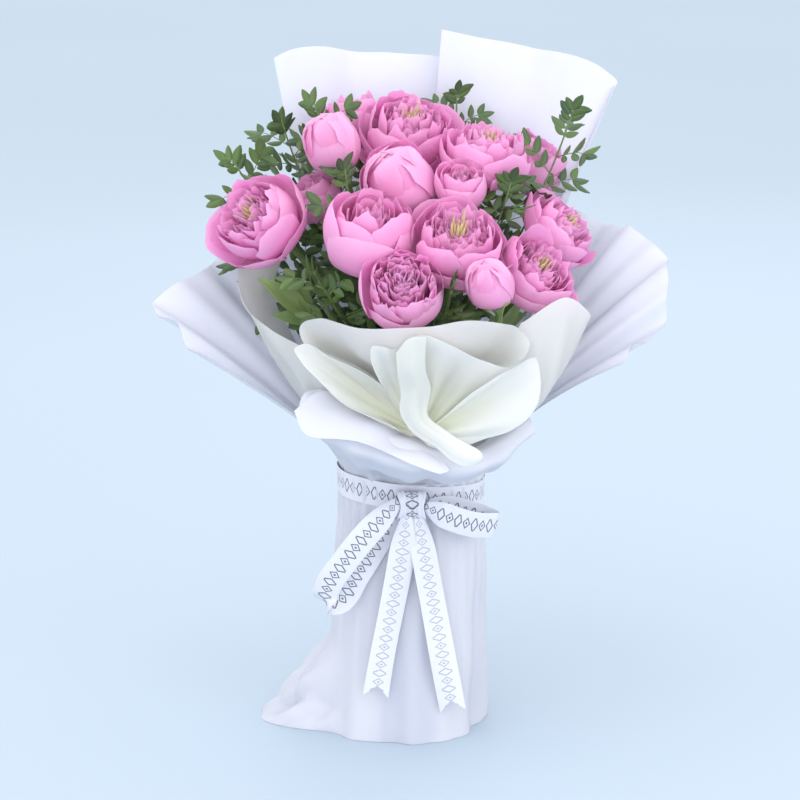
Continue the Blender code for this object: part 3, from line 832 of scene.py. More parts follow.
def leaflets(bases: Array, ways: Array, faces: Array, lengths: Array, widths: Array, tones: Array,
             rows: int = 6, columns: int = 5, droop: float = 0.12, pinch: float = 0.68) -> Patch:
    """Oval leaflets, folded a little along the midrib and bent down to the tip.

    Half the breadth follows a sine over the length, raised to make the ends rounder; the
    sides rise with their distance from the midrib, and the tip falls with the square of
    the distance along it.

    Args:
        bases: Where each leaflet starts.
        ways: The way that each one points.
        faces: The way that its upper side looks.
        lengths: Its length.
        widths: Half its breadth.
        tones: Its tone.
        rows: Points along it.
        columns: Points across it.
        droop: How far the tip falls, in lengths.
        pinch: The power of the sine.

    Returns:
        One grid for each leaflet.
    """
    ways = unit(ways)
    faces = unit(faces - (faces * ways).sum(-1, keepdims=True) * ways)
    sides = np.cross(ways, faces)
    a = np.linspace(0.0, 1.0, rows)[None, :, None, None]
    b = np.linspace(-1.0, 1.0, columns)[None, None, :, None]
    breadth = 0.05 + 0.95 * np.sin(np.pi * np.clip(a, 0, 0.985) ** 0.9) ** pinch
    half = widths[:, None, None, None] * breadth
    long = lengths[:, None, None, None]
    points = (bases[:, None, None] + ways[:, None, None] * long * a + sides[:, None, None] * half * b
              + faces[:, None, None] * (0.28 * half * np.abs(b) - droop * long * a**2))
    return patch(points, tone=np.broadcast_to(tones[:, None, None], points.shape[:-1]))


def foot_of(node: str) -> Array:
    """The middle of a stem's cut end, in the bunch's own frame."""
    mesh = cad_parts[node].data
    points = np.zeros(len(mesh.vertices) * 3)
    mesh.vertices.foreach_get("co", points)
    points = points.reshape(-1, 3)
    cut = points[points[:, 2] < 0.0005]
    return (cut.min(axis=0) + cut.max(axis=0)) / 2 - BUNCH


FOOT_SPLAY = 2.0
FOOT_UPRIGHT = 0.004
STEM_RISE = 0.36
NECK_BEND = 0.30


def stem_path(node: str, bend: Place, tip: Place, count: int) -> Array:
    """The way of a stem: up from its cut end, through the tie and over to its tip."""
    foot = foot_of(node)
    tie = np.array((foot[0] / FOOT_SPLAY, foot[1] / FOOT_SPLAY, 0.0))
    rise = np.array((0.0, 0.0, STEM_RISE * tip[2]))
    upright = foot + (0.0, 0.0, FOOT_UPRIGHT)
    return np.concatenate(([foot, upright], bezier(tie, tie + rise, bend, tip, count)))


def away_from(heads: list[Peony], points: Array, share: float) -> Array:
    """Which points lie outside every head, taken as a ball of this share of its radius."""
    centres = np.array([head.middle() for head in heads])
    radii = np.array([head.radius for head in heads])
    return (np.linalg.norm(points[:, None] - centres, axis=2) > radii * share).all(axis=1)


@dataclass(frozen=True)
class Foliage:
    """The dark lance-shaped leaves on a peony's stem, below its head.

    They stand at even shares of the stem's upper part, turned by the golden angle.
    """

    head: Peony
    count: int = 5
    length: float = 0.050
    half: float = 0.0085
    tip_clear: float = 1.35
    middle_clear: float = 1.2
    gap: float = 0.006

    def build(self, heads: list[Peony], walls: "Walls") -> None:
        """Makes the leaves that stay clear of the heads and the sheets.

        Args:
            heads: The heads to keep clear of.
            walls: The sheets to stay inside.
        """
        draw = np.random.default_rng(400 + self.head.number)
        facing = unit(self.head.facing)
        end = self.head.base() - facing * 0.0004
        bend = end - facing * NECK_BEND * end[2]
        path = stem_path(self.head.name + "_stem", tuple(bend), tuple(end), 30)
        order = np.arange(self.count)
        spots = smooth_curve(path[1:], np.linspace(0.62, 0.93, self.count))
        turns = np.radians(GOLDEN_TURN * order + 70 * self.head.number)
        ways = unit(np.stack((np.cos(turns), np.sin(turns), 0.75 + 0.3 * draw.random(self.count)), axis=1))
        faces = np.cross(np.cross(ways, (0.0, 0.0, 1.0)), ways) + draw.normal(0, 0.25, (self.count, 3))
        sizes = self.length * draw.uniform(0.75, 1.15, self.count)
        tips = spots + ways * sizes[:, None]
        clear = away_from(heads, tips, self.tip_clear)
        clear &= away_from(heads, (spots + tips) / 2, self.middle_clear)
        clear &= walls.inside(spots, tips, self.gap)
        if clear.any():
            tones = np.clip(0.30 + draw.normal(0, 0.15, self.count), 0, 1)
            blades = leaflets(spots[clear], ways[clear], faces[clear], sizes[clear],
                              sizes[clear] * self.half / self.length, tones[clear], 12, 7, 0.16, 1.1)
            make_piece(self.head.name + "_leaves", [blades], LEAVES, LEAF_WALL)


@dataclass(frozen=True)
class Sprig:
    """A stem of greenery with small compound leaves along its end.

    Each leaf stands at its own share of the stem, turned by the golden angle from the one
    before, and has pairs of leaflets and one at its tip.
    """

    number: int
    bend: Place
    tip: Place
    leaves: int = 11
    start: float = 0.70
    rib: float = 0.040
    pairs: int = 3
    leaflet: float = 0.0185
    rise: float = 0.7
    tone: float = 0.25
    clear: float = 1.08
    rib_gap: float = 0.004
    leaflet_gap: float = 0.003

    @property
    def name(self) -> str:
        """The sprig's name in the frame."""
        return f"greens_{self.number:02d}"

    def build(self, heads: list[Peony], walls: "Walls") -> None:
        """Makes the sprig, leaving out what would stand inside a head or cross a sheet.

        Args:
            heads: The peony heads that its leaflets keep clear of.
            walls: The sheets that they stay inside.
        """
        draw = np.random.default_rng(200 + self.number)
        path = stem_path(self.name, self.bend, self.tip, 26)
        parts = [tube(path, np.linspace(0.0018, 0.0008, len(path)), 8)]
        spots = smooth_curve(path[1:], np.linspace(self.start, 0.97, self.leaves))
        ahead = unit(np.gradient(spots, axis=0))
        bases, ways, faces, sizes, roots = [], [], [], [], []
        for k in range(self.leaves):
            turn = math.radians(GOLDEN_TURN * k + 40 * self.number)
            out = np.array((math.cos(turn), math.sin(turn), 0.0))
            out = unit(out - (out @ ahead[k]) * ahead[k])
            last = k == self.leaves - 1
            way = unit((1.6 if last else self.rise) * ahead[k] + (0.15 if last else 1.0) * out)
            reach = self.rib * draw.uniform(0.75, 1.1) * (0.5 if last else 1.0)
            rib = bezier(spots[k], spots[k] + way * reach * 0.4, spots[k] + way * reach * 0.8,
                         spots[k] + way * reach - (0, 0, reach * 0.12), 10)
            if not walls.inside(rib[:1], rib[-1:], self.rib_gap)[0]:
                continue
            parts.append(tube(rib, np.linspace(0.0006, 0.0003, 10), 5))
            roots.append(np.repeat(rib[:1], 2 * self.pairs + 1, axis=0))
            along, side, above = frames_along(rib, np.cross(way, (0.2, -0.7, 0.7)))
            at = np.linspace(2, 9, self.pairs).astype(int)
            for way_out in (-1.0, 1.0):
                bases.append(rib[at])
                scatter = draw.normal(0, 0.12, (len(at), 3))
                ways.append(unit(along[at] * 0.75 + way_out * side[at] + scatter))
                faces.append(above[at] + draw.normal(0, 0.2, (len(at), 3)))
                sizes.append(np.linspace(0.8, 1.0, len(at)) * draw.uniform(0.75, 1.15, len(at)))
            bases.append(rib[-1:])
            ways.append(along[-1:])
            faces.append(above[-1:])
            sizes.append(np.ones(1))
        bases, ways, faces, roots = (np.concatenate(part) for part in (bases, ways, faces, roots))
        sizes = np.concatenate(sizes) * self.leaflet
        clear = away_from(heads, bases + ways * sizes[:, None] * 0.6, self.clear)
        clear &= walls.inside(roots, bases + unit(ways) * sizes[:, None], self.leaflet_gap)
        tones = np.clip(self.tone + draw.normal(0, 0.14, len(bases)), 0, 1)
        parts.append(leaflets(bases[clear], ways[clear], faces[clear], sizes[clear],
                              sizes[clear] * 0.24, tones[clear]))
        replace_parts(make_piece(self.name + "_sprig", parts[:1], STEMS), self.name)
        make_piece(self.name + "_ribs", parts[1:-1], STEMS)
        make_piece(self.name + "_leaflets", parts[-1:], LEAVES, LEAF_WALL)


@dataclass(frozen=True)
class PeonyLeaf:
    """A peony's own leaf: a stalk and three long pointed blades."""

    number: int
    bend: Place
    tip: Place
    side: Place
    blade: float
    half: float

    def build(self) -> None:
        """Makes the stalk and its three blades."""
        name = f"peony_leaf_{self.number:02d}"
        path = stem_path(name, self.bend, self.tip, 30)
        ahead, side, _ = frames_along(path, self.side)
        steps = np.linalg.norm(np.diff(path, axis=0), axis=1)
        start = int(np.searchsorted(steps[::-1].cumsum(), self.blade))
        fork = len(path) - 1 - start
        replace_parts(make_piece(name + "_stalk", [tube(path[:fork + 1], 0.0016, 8)], STEMS), name)
        ways = np.stack((ahead[fork], ahead[fork] + 0.55 * side[fork], ahead[fork] - 0.55 * side[fork]))
        faces = np.repeat(np.cross(side[fork], ahead[fork])[None], 3, axis=0)
        sizes = np.array((1.0, 0.72, 0.66))
        blades = leaflets(np.repeat(path[fork][None], 3, axis=0), ways, faces, sizes * self.blade,
                          sizes * self.half, np.array((0.7, 0.5, 0.4)), 16, 9, 0.10, 1.15)
        make_piece(name + "_blades", [blades], PALE_LEAVES, BLADE_WALL)


# ---- wrapper -------------------------------------------------------------------


def waist(degrees: Array, inset: float, height: float) -> Array:
    """Points on the oval of the waist, this far inside its outline."""
    angle = np.radians(degrees)
    wide, deep = WAIST_HALF_WIDTH - inset, WAIST_HALF_DEPTH - inset
    return np.stack((wide * np.cos(angle), deep * np.sin(angle), np.full(len(degrees), height)), axis=1)


def waist_curve(first: float, last: float, inset: float, height: float) -> tuple[Place, ...]:
    """Nine points of the waist's oval, between two angles in degrees."""
    return tuple(map(tuple, waist(np.linspace(first, last, 9), inset, height).tolist()))


@dataclass(frozen=True)
class Sheet:
    """A sheet gathered at the waist and spread to its free edge.

    A line runs from each point of the waist to a point of the edge, spreading sideways
    as a power of its height. Flutes, which are waves across the lines, grow from the
    gathers to the edge, and the gathers themselves are short waves that die away. The
    side edges curl with the square of how near they are, and the whole bulges as a sine
    of its height.
    """

    name: str
    nodes: tuple[str, ...]
    angles: tuple[float, float]
    inset: float
    flare: float
    edge: tuple[Place, ...]
    flat: tuple[float, float]
    area: float
    flutes: float = 3.0
    depth: float = 0.006
    shift: float = 0.0
    gathers: float = 14.0
    crease: float = 0.0022
    curl: float = 0.0
    bulge: float = 0.0
    finish: Finish = WHITE_WRAP
    # How strong the painted shade is, in the flutes' valleys and towards the waist.
    painted_shade: float = 0.35
    rows: int = 44
    columns: int = 120

    def surface(self) -> Patch:
        """The sheet's middle surface."""
        across = np.linspace(0.0, 1.0, self.columns)
        degrees = self.angles[0] + (self.angles[1] - self.angles[0]) * across
        low, high = (waist(degrees, self.inset, z) for z in (WAIST_BOTTOM, WAIST_TOP))
        free = smooth_curve(self.edge, across)
        t = np.linspace(0.0, 1.0, self.rows)[:, None]
        points = np.empty((self.rows + 3, self.columns, 3))
        points[:3] = low + (high - low) * np.linspace(0, 0.9, 3)[:, None, None]
        points[3:, :, :2] = high[:, :2] + (free[:, :2] - high[:, :2]) * (t**self.flare)[:, :, None]
        points[3:, :, 2] = high[:, 2] + (free[:, 2] - high[:, 2]) * t
        outward = np.cross(np.gradient(points, axis=1), np.gradient(points, axis=0))
        outward = unit(outward + 1e-12)
        t = np.concatenate((np.zeros((3, 1)), t))
        phase = 2 * np.pi * (self.flutes * across + self.shift)
        flute = (np.sin(phase) + 0.45 * np.sin(2.3 * phase + 1.7)) * self.depth * t**1.4
        gather = (np.sin(2 * np.pi * self.gathers * across) * self.crease
                  * (1 - t) ** 3 * (1 - 0.6 * (t == 0)))
        near = np.minimum(across, 1 - across)
        curl = self.curl * np.clip(1 - near / 0.12, 0, 1) ** 2 * t
        soft = ripple(points, 7, 0.16, len(self.name)) * 0.004 * t
        bulge = self.bulge * np.sin(np.pi * t**0.8)
        points = points + outward * (flute + gather + curl + soft + bulge)[:, :, None]
        # Painted shade: the tone is highest in the flutes' valleys and near the waist, where it mixes in
        # the finish's fold colour.
        painted_shade_mask = np.clip(-flute / (self.depth + 1e-9), 0, 1) * 0.5 + np.clip(1 - t, 0, 1) ** 2
        return patch(points, tone=self.painted_shade * painted_shade_mask)

    def build(self) -> bpy.types.Object:
        piece = make_piece(self.name, [self.surface()], self.finish, WRAP_WALL)
        if self.nodes:
            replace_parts(piece, *self.nodes)
        return piece


class Walls:
    """The wrapper's sheets, as something that a straight line can be tried against."""

    def __init__(self, surfaces: list[Patch]) -> None:
        """Gathers the sheets' faces.

        Args:
            surfaces: The sheets' middle surfaces.
        """
        points = np.concatenate([p.points.reshape(-1, 3) for p in surfaces])
        starts = np.cumsum([0] + [p.points.size // 3 for p in surfaces])
        faces = np.concatenate([p.faces(start)[0] for p, start in zip(surfaces, starts)])
        self.tree = BVHTree.FromPolygons(points.tolist(), faces.tolist())

    def inside(self, starts: Array, ends: Array, margin: float) -> Array:
        """Which lines reach this far past their ends without meeting a sheet.

        Args:
            starts: Where the lines start.
            ends: Where they end.
            margin: The length past the end that must be clear too.

        Returns:
            True for each clear line.
        """
        ways = unit(ends - starts)
        reach = np.linalg.norm(ends - starts, axis=1) + margin
        hits = [self.tree.ray_cast(Vector(a), Vector(w), r)[0] for a, w, r in zip(starts, ways, reach)]
        return np.array([hit is None for hit in hits])


@dataclass(frozen=True)
class Drape:
    """A sheet laid through curves that run across it, from its gathers to its free edge.

    The surface passes smoothly from curve to curve. Creases fan out from the first curve
    as waves across the sheet, and a slow ripple softens it.
    """

    name: str
    nodes: tuple[str, ...]
    curves: tuple[tuple[Place, ...], ...]
    flat: tuple[float, float]
    area: float
    flutes: float = 3.0
    depth: float = 0.002
    shift: float = 0.0
    soft: float = 0.0025
    finish: Finish = WHITE_WRAP
    # How strong the painted shade is: deepest at the first curve, falling off by the power below, and in
    # the creases' valleys too.
    painted_shade: float = 0.3
    fade: float = 2.0
    rests_on: tuple[str, ...] = ("ribbon_band",)
    rows: int = 48
    columns: int = 110

    def surface(self) -> Patch:
        """The sheet's middle surface."""
        across = np.linspace(0.0, 1.0, self.columns)
        t = np.linspace(0.0, 1.0, self.rows)
        rows = np.stack([smooth_curve(curve, across) for curve in self.curves])
        points = smooth_curve(rows, t)
        normal = unit(np.cross(np.gradient(points, axis=1), np.gradient(points, axis=0)) + 1e-12)
        t = t[:, None]
        phase = 2 * np.pi * (self.flutes * across + self.shift)
        flute = (np.sin(phase) + 0.5 * np.sin(1.7 * phase + 0.9)) * self.depth * np.sin(np.pi * t**0.8)
        ease = np.clip(4 * np.minimum(across, 1 - across), 0, 1)
        wander = ripple(points, 7, 0.07, 3 * len(self.name)) * self.soft * t
        points = points + normal * (flute * ease + wander)[:, :, None]
        # Painted shade: the tone is highest at the gathered first curve and in the creases' valleys, where
        # it mixes in the finish's fold colour.
        painted_shade_mask = 0.35 * np.clip(-flute / (self.depth + 1e-9), 0, 1)
        return patch(points, tone=self.painted_shade * np.clip((1 - t) ** self.fade + painted_shade_mask * (1 - t), 0, 1))

    def build(self) -> bpy.types.Object:
        piece = make_piece(self.name, [self.surface()], self.finish, WRAP_WALL)
        if self.nodes:
            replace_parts(piece, *self.nodes)
        return piece


def fan(root: Place, wide: float, edge: tuple[Place, ...], bow: Place) -> tuple[tuple[Place, ...], ...]:
    """The curves of a fan of paper: a short root, a bowed middle and its edge.

    Args:
        root: The middle of the root.
        wide: How far the root reaches, as a share of the edge's own spread.
        edge: The points of the free edge.
        bow: How far the middle is pushed off the straight lines.

    Returns:
        Three curves.
    """
    free = np.array(edge)
    start = np.array(root) + (free - free.mean(axis=0)) * wide
    middle = (start + free) / 2 + np.array(bow)
    return tuple(tuple(map(tuple, curve)) for curve in (start, middle, free))


@dataclass(frozen=True)
class Skirt:
    """The sheet round the stems, from the waist to the table, with a crumpled lobe at its left.

    A section is its height, its half width and its half depth.
    """

    sections: tuple[Place, ...] = (
        (0.013, 0.0705, 0.0580), (-0.033, 0.0705, 0.0580), (-0.083, 0.0745, 0.0640),
        (-0.148, 0.0755, 0.0700), (-0.198, 0.0770, 0.0780), (-0.233, 0.0790, 0.0840))
    hem_shift: tuple[float, float] = (-0.007, -0.014)
    lobe_reach: float = 0.062
    lobe_height: float = 0.085
    lobe_middle: float = 178.0
    lobe_spread: float = 34.0
    rows: int = 90
    columns: int = 300

    def surface(self) -> Patch:
        """The skirt's middle surface: ovals of the waist and the hem, folded and crumpled.

        The folds are waves round the oval that deepen towards the hem, with short gathers
        under the ribbon. On the lobe, sharp-valleyed waves crumple it. The tone is painted
        shade in the hollows of the folds and gathers, a little darker towards the hem, and a
        painted shadow of the stems behind the sheet in a band at the front.
        """
        degrees = np.linspace(0.0, 360.0, self.columns, endpoint=False)
        angle = np.radians(degrees)
        heights, wide, deep = (np.array(column)[::-1] for column in zip(*self.sections))
        z = np.linspace(self.sections[0][0], -TIE_HEIGHT, self.rows)
        low = np.clip(-(z + 0.033) / (TIE_HEIGHT - 0.033), 0, 1)[:, None]
        lobe = np.exp(-((degrees - self.lobe_middle) / self.lobe_spread) ** 4)
        above = z[:, None] + TIE_HEIGHT
        lobe = lobe * np.clip(1 - above / self.lobe_height, 0, 1) ** 1.5
        gather = np.sin(30 * angle) * 0.0010 * (1 - low) ** 2
        folds = np.sin(5 * angle + 0.6) + 0.7 * np.sin(9 * angle + 2.1) + 0.4 * np.sin(16 * angle)
        folds = folds * 0.0028 * low * (1 - 0.5 * lobe)
        out = gather + folds - 0.0006
        x = (np.interp(z, heights, wide)[:, None] + out) * np.cos(angle) + self.hem_shift[0] * low
        y = (np.interp(z, heights, deep)[:, None] + out) * np.sin(angle) + self.hem_shift[1] * low
        x = x - self.lobe_reach * lobe
        points = np.stack((x, y, np.broadcast_to(z[:, None], x.shape)), axis=-1)
        rough = crumple(points, 5, 0.034, 5) * np.clip(lobe * 3, 0, 1) * 0.017
        rough = rough + ripple(points, 8, 0.07, 11) * 0.0022 * low
        way = unit(np.stack((np.cos(angle), np.sin(angle), np.full(len(angle), 0.25)), axis=1))
        points = points + way * (rough * np.clip(above / 0.012, 0, 1))[:, :, None]
        points[:, :, 2] = np.maximum(points[:, :, 2], -TIE_HEIGHT + 0.0003)
        # Painted shade: the tone is darker in the hollows of the folds and gathers and a little towards
        # the hem, and a band at the front is the painted shadow of the stems behind the sheet.
        stem_shadow = np.exp(-((degrees - 268 - 6 * low) / 21) ** 6) * np.clip(1.6 * low, 0, 1)
        tone = 0.35 * np.clip(-(gather + folds) / 0.003, 0, 1) + 0.1 * low + 0.7 * stem_shadow
        return patch(points, tone=tone, closed=True)

    def build(self) -> None:
        piece = make_piece("stem_skirt_wrap", [self.surface()], WHITE_WRAP, WRAP_WALL)
        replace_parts(piece, "stem_skirt")


# ---- ribbon --------------------------------------------------------------------

STRIP_POINTS = 9
PINCHED_WIDTH = 0.010


def strip(path: Array, across: Array, widths: Array, crown: float = 0.0006) -> Patch:
    """A ribbon along a path, crowned a little across.

    Args:
        path: Points along its middle.
        across: The way of its width, or one way for each point.
        widths: Its width at each point.
        crown: How far its middle stands proud of its edges.

    Returns:
        The patch, with its uv in metres across and along.
    """
    _, side, above = frames_along(path, across)
    u = np.linspace(-1.0, 1.0, STRIP_POINTS)
    half = widths[:, None] / 2 * u
    points = path[:, None] + side[:, None] * half[:, :, None]
    points = points + above[:, None] * (crown * (1 - u**2))[:, None]
    run = np.concatenate(([0.0], np.cumsum(np.linalg.norm(np.diff(path, axis=0), axis=1))))
    uv = np.stack((u * RIBBON_WIDTH / 2 + 0 * run[:, None], run[:, None] + 0 * u), axis=-1)
    return patch(points, uv=uv)


@dataclass(frozen=True)
class Ribbon:
    """The satin ribbon: a band, a knot, two loops and two tails with swallow-tail ends."""

    tilt: float = 0.085
    wall: float = 0.0003
    knot: Place = (0.030, 0.014, 0.026)
    knot_drop: float = 0.004
    front: float = -0.0598

    def band(self) -> None:
        """The band round the waist, tilted down to the right, its face to the outside."""
        angle = np.linspace(0, 2 * np.pi, 181)
        out = 0.0009 + 0.0004 * np.sin(9 * angle)
        wide, deep = WAIST_HALF_WIDTH + out, WAIST_HALF_DEPTH + out
        path = np.stack((wide * np.cos(angle), deep * np.sin(angle),
                         -self.tilt * WAIST_HALF_WIDTH * np.cos(angle)), axis=1)
        made = strip(path, (0.0, 0.0, -1.0), np.full(len(path), RIBBON_WIDTH), 0.0008)
        piece = make_piece("ribbon_band_satin", [made], SATIN, self.wall)
        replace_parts(piece, "ribbon_band")

    def knot_wrap(self) -> None:
        """The knot: a turn of ribbon round the crossing, pinched narrow and pleated.

        The path is a rounded oval from front to back, and the width is drawn in at the
        front, with pleats that run round with it.
        """
        turn = np.linspace(0, 2 * np.pi, 61)
        wide, deep, high = self.knot
        squash = np.sign(np.cos(turn)) * np.abs(np.cos(turn)) ** 0.8
        path = np.stack((0.001 * np.sin(turn), self.front - deep / 2 - deep / 2 * 0.95 * np.sin(turn),
                         -self.knot_drop + high / 2 * 0.96 * squash), axis=1)
        u = np.linspace(-1.0, 1.0, 25)
        half = wide / 2 * (0.72 + 0.22 * np.abs(np.cos(turn)))
        _, _, above = frames_along(path, (1.0, 0.0, 0.0))
        pleat = 0.0011 * np.cos(5.5 * np.pi * u) * (1 - u**2) - 0.0016 * u**2
        points = path[:, None] + np.array((1.0, 0.0, 0.0)) * (half[:, None] * u)[:, :, None]
        points = points - above[:, None] * pleat[:, None]
        run = np.linspace(0, 0.075, len(turn))[:, None]
        uv = np.stack((u * 0.012 + 0 * run, run + 0 * u), axis=-1)
        piece = make_piece("ribbon_knot_satin", [patch(points, uv=uv)], SATIN, self.wall)
        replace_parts(piece, "ribbon_knot")

    def loop(self, name: str, across: Place, points: tuple[Place, ...]) -> None:
        """One loop of the bow.

        Args:
            name: Its node.
            across: The way of its width.
            points: The path's points, from the knot out to the fold and back.
        """
        shares = np.linspace(0, 1, 90)
        path = smooth_curve(points, shares)
        pinch = np.clip(np.minimum(shares, 1 - shares) / 0.16, 0, 1)
        widths = PINCHED_WIDTH + (RIBBON_WIDTH - PINCHED_WIDTH) * np.sin(np.pi / 2 * pinch)
        piece = make_piece(name + "_satin", [strip(path, across, widths, 0.0012)], SATIN, self.wall)
        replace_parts(piece, name)

    def hanging(self, name: str, points: tuple[Place, ...], twist: float) -> None:
        """One tail, with a notch cut in its end.

        The last rows are drawn back towards the middle of the width, by a length that
        falls from the notch's depth at the middle to nothing at the edges.

        Args:
            name: Its node.
            points: The path's points, from the knot down.
            twist: How far its width tips as it hangs.
        """
        shares = np.linspace(0, 1, 80)
        path = smooth_curve(points, shares)
        across = np.stack((np.ones(80), 0.35 * np.sin(3 * shares + twist),
                           twist * 0.25 + 0 * shares), axis=1)
        pinch = np.clip(shares / 0.22, 0, 1)
        widths = PINCHED_WIDTH + (RIBBON_WIDTH - PINCHED_WIDTH) * np.sin(np.pi / 2 * pinch)
        made = strip(path, across, widths, 0.0010)
        u = np.linspace(-1.0, 1.0, STRIP_POINTS)
        notch = 0.011 * (1 - np.abs(u)) * np.clip((shares[:, None] - 0.8) / 0.2, 0, 1)
        back = unit(path[0] - path[-1])
        made.points = made.points + back * notch[:, :, None]
        made.uv = made.uv - np.stack((0 * notch, notch), axis=-1)
        piece = make_piece(name + "_satin", [made], SATIN_BACK, self.wall)
        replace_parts(piece, name)

    def build(self) -> None:
        """Makes every part of the ribbon."""
        self.band()
        self.knot_wrap()
        near, far = self.front - self.knot[1] + 0.002, self.front - 0.003
        middle = -self.knot_drop
        self.loop("ribbon_loop_left", (0.731, 0.0, -0.682), (
            (-0.013, near, 0.000), (-0.025, near - 0.010, -0.010), (-0.043, near - 0.016, -0.028),
            (-0.063, near - 0.016, -0.054), (-0.079, near - 0.011, -0.080), (-0.081, near - 0.004, -0.096),
            (-0.070, near, -0.098), (-0.051, near + 0.003, -0.072), (-0.031, far, -0.040),
            (-0.014, far, middle - 0.006)))
        self.loop("ribbon_loop_right", (0.240, 0.0, 0.970), (
            (0.014, near, middle), (0.030, near - 0.008, -0.010), (0.050, near - 0.006, -0.018),
            (0.070, near + 0.004, -0.024), (0.080, near + 0.012, -0.025), (0.072, near + 0.017, -0.022),
            (0.050, far + 0.007, -0.014), (0.016, far, middle)))
        top = middle - 0.010
        self.hanging("ribbon_tail_left", (
            (-0.004, near + 0.001, top), (-0.008, near - 0.004, -0.045), (-0.018, near - 0.009, -0.100),
            (-0.028, near - 0.017, -0.150), (-0.034, near - 0.022, -0.186)), -0.4)
        self.hanging("ribbon_tail_right", (
            (0.006, near + 0.004, top), (0.012, near - 0.002, -0.050), (0.022, near - 0.007, -0.105),
            (0.032, near - 0.014, -0.160), (0.040, near - 0.018, -0.202)), 0.5)


# ---- the whole bunch -----------------------------------------------------------

HEADS = [
    Peony(1, 0.037, (-0.55, -0.60, 0.58), Stage.OPEN, (
        Whorl(1, (1.08, 1.08), (1.05, 1.05), (1.40, 1.40), 0.50, 0.90, 0.05, 0.05, (0.1, 0.1),
              first=180),)),
    Peony(2, 0.027, (-0.30, -0.25, 0.92), Stage.BUD, (
        Whorl(3, (1.00, 0.98), (1.86, 1.96), (0.66, 0.50), 0.60, 0.95, 0.03, 0.04, (0.40, 0.55), first=140,
              step=28, crest=0.85),)),
    Peony(3, 0.027, (-0.20, 0.10, 0.97), Stage.CUP, (
        Whorl(4, (0.88, 1.00), (2.08, 1.95), (1.05, 1.20), 0.66, 0.80, 0.11, 0.12, (0.10, 0.05), first=60,
              step=44),)),
    Peony(4, 0.040, (0.10, -0.45, 0.88), Stage.OPEN, (
        Whorl(3, (1.08, 1.12), (0.45, 0.60), (1.30, 1.38), 0.95, 1.60, 0.06, 0.04, (0.05, 0.05), first=215,
              step=50),)),
    Peony(5, 0.033, (-0.35, -0.35, 0.87), Stage.BUD, (
        Whorl(2, (1.10, 1.08), (1.80, 1.94), (0.82, 0.62), 0.95, 1.05, 0.04, 0.03, (0.40, 0.30), first=150,
              step=-52, crest=0.85),)),
    Peony(6, 0.036, (0.15, -0.20, 0.96), Stage.OPEN),
    Peony(7, 0.029, (0.60, -0.20, 0.77), Stage.CUP),
    Peony(8, 0.022, (0.05, -0.50, 0.86), Stage.CUP),
    Peony(9, 0.032, (0.70, -0.35, 0.60), Stage.OPEN, (
        Whorl(1, (1.05, 1.05), (1.05, 1.05), (1.30, 1.30), 0.55, 0.90, 0.06, 0.05, (0.1, 0.1),
              first=350),)),
    Peony(10, 0.039, (0.12, -0.40, 0.90), Stage.CUP),
    Peony(11, 0.040, (0.10, -0.50, 0.86), Stage.OPEN, (
        Whorl(1, (1.06, 1.06), (1.00, 1.00), (1.38, 1.38), 0.70, 1.20, 0.07, 0.05, (0.0, 0.0),
              first=350),)),
    Peony(12, 0.034, (0.00, -0.75, 0.66), Stage.BALL),
    Peony(13, 0.022, (-0.25, -0.35, 0.88), Stage.BUD),
    Peony(14, 0.032, (0.45, -0.50, 0.74), Stage.OPEN, (
        Whorl(3, (0.92, 0.98), (1.95, 1.70), (1.00, 1.10), 0.70, 0.85, 0.09, 0.09, (0.0, 0.05), first=110,
              step=38),)),
    Peony(15, 0.023, (-0.35, -0.20, 0.90), Stage.CUP),
]

SPRIGS = [
    Sprig(1, (-0.062, 0.056, 0.252), (-0.092, 0.040, 0.362), leaves=20, start=0.60, rib=0.036, tone=0.40),
    Sprig(2, (-0.085, 0.078, 0.207), (-0.124, 0.048, 0.345), leaves=26, start=0.54, rib=0.040,
          leaflet=0.020),
    Sprig(3, (-0.110, 0.050, 0.207), (-0.170, 0.020, 0.312), leaves=22, start=0.56, rib=0.036,
          leaflet=0.020, tone=0.42),
    Sprig(4, (-0.110, 0.045, 0.157), (-0.178, 0.012, 0.240), leaves=16, start=0.62, rib=0.030),
    Sprig(5, (0.046, 0.100, 0.232), (0.044, 0.082, 0.370), leaves=20, start=0.66, rib=0.034,
          leaflet=0.016),
    Sprig(6, (0.106, 0.030, 0.197), (0.154, 0.018, 0.363), leaves=14, start=0.62, rib=0.034, tone=0.32),
    Sprig(7, (0.070, -0.030, 0.207), (0.093, -0.044, 0.303), leaves=24, start=0.66, rib=0.036),
    Sprig(8, (-0.050, -0.020, 0.217), (-0.062, -0.045, 0.315), leaves=24, start=0.56, rib=0.038),
    Sprig(9, (-0.060, -0.065, 0.167), (-0.090, -0.108, 0.229), leaves=24, start=0.50, rib=0.036,
          tone=0.35),
    Sprig(10, (0.028, -0.100, 0.167), (0.037, -0.150, 0.227), leaves=18, start=0.58, rib=0.030,
          tone=0.42),
]

PEONY_LEAVES = [
    PeonyLeaf(1, (-0.054, -0.054, 0.152), (-0.138, -0.085, 0.215), (0.2, 0.5, 0.8), 0.070, 0.011),
    PeonyLeaf(2, (0.066, -0.055, 0.157), (0.097, -0.118, 0.193), (0.9, 0.5, 0.0), 0.060, 0.009),
]

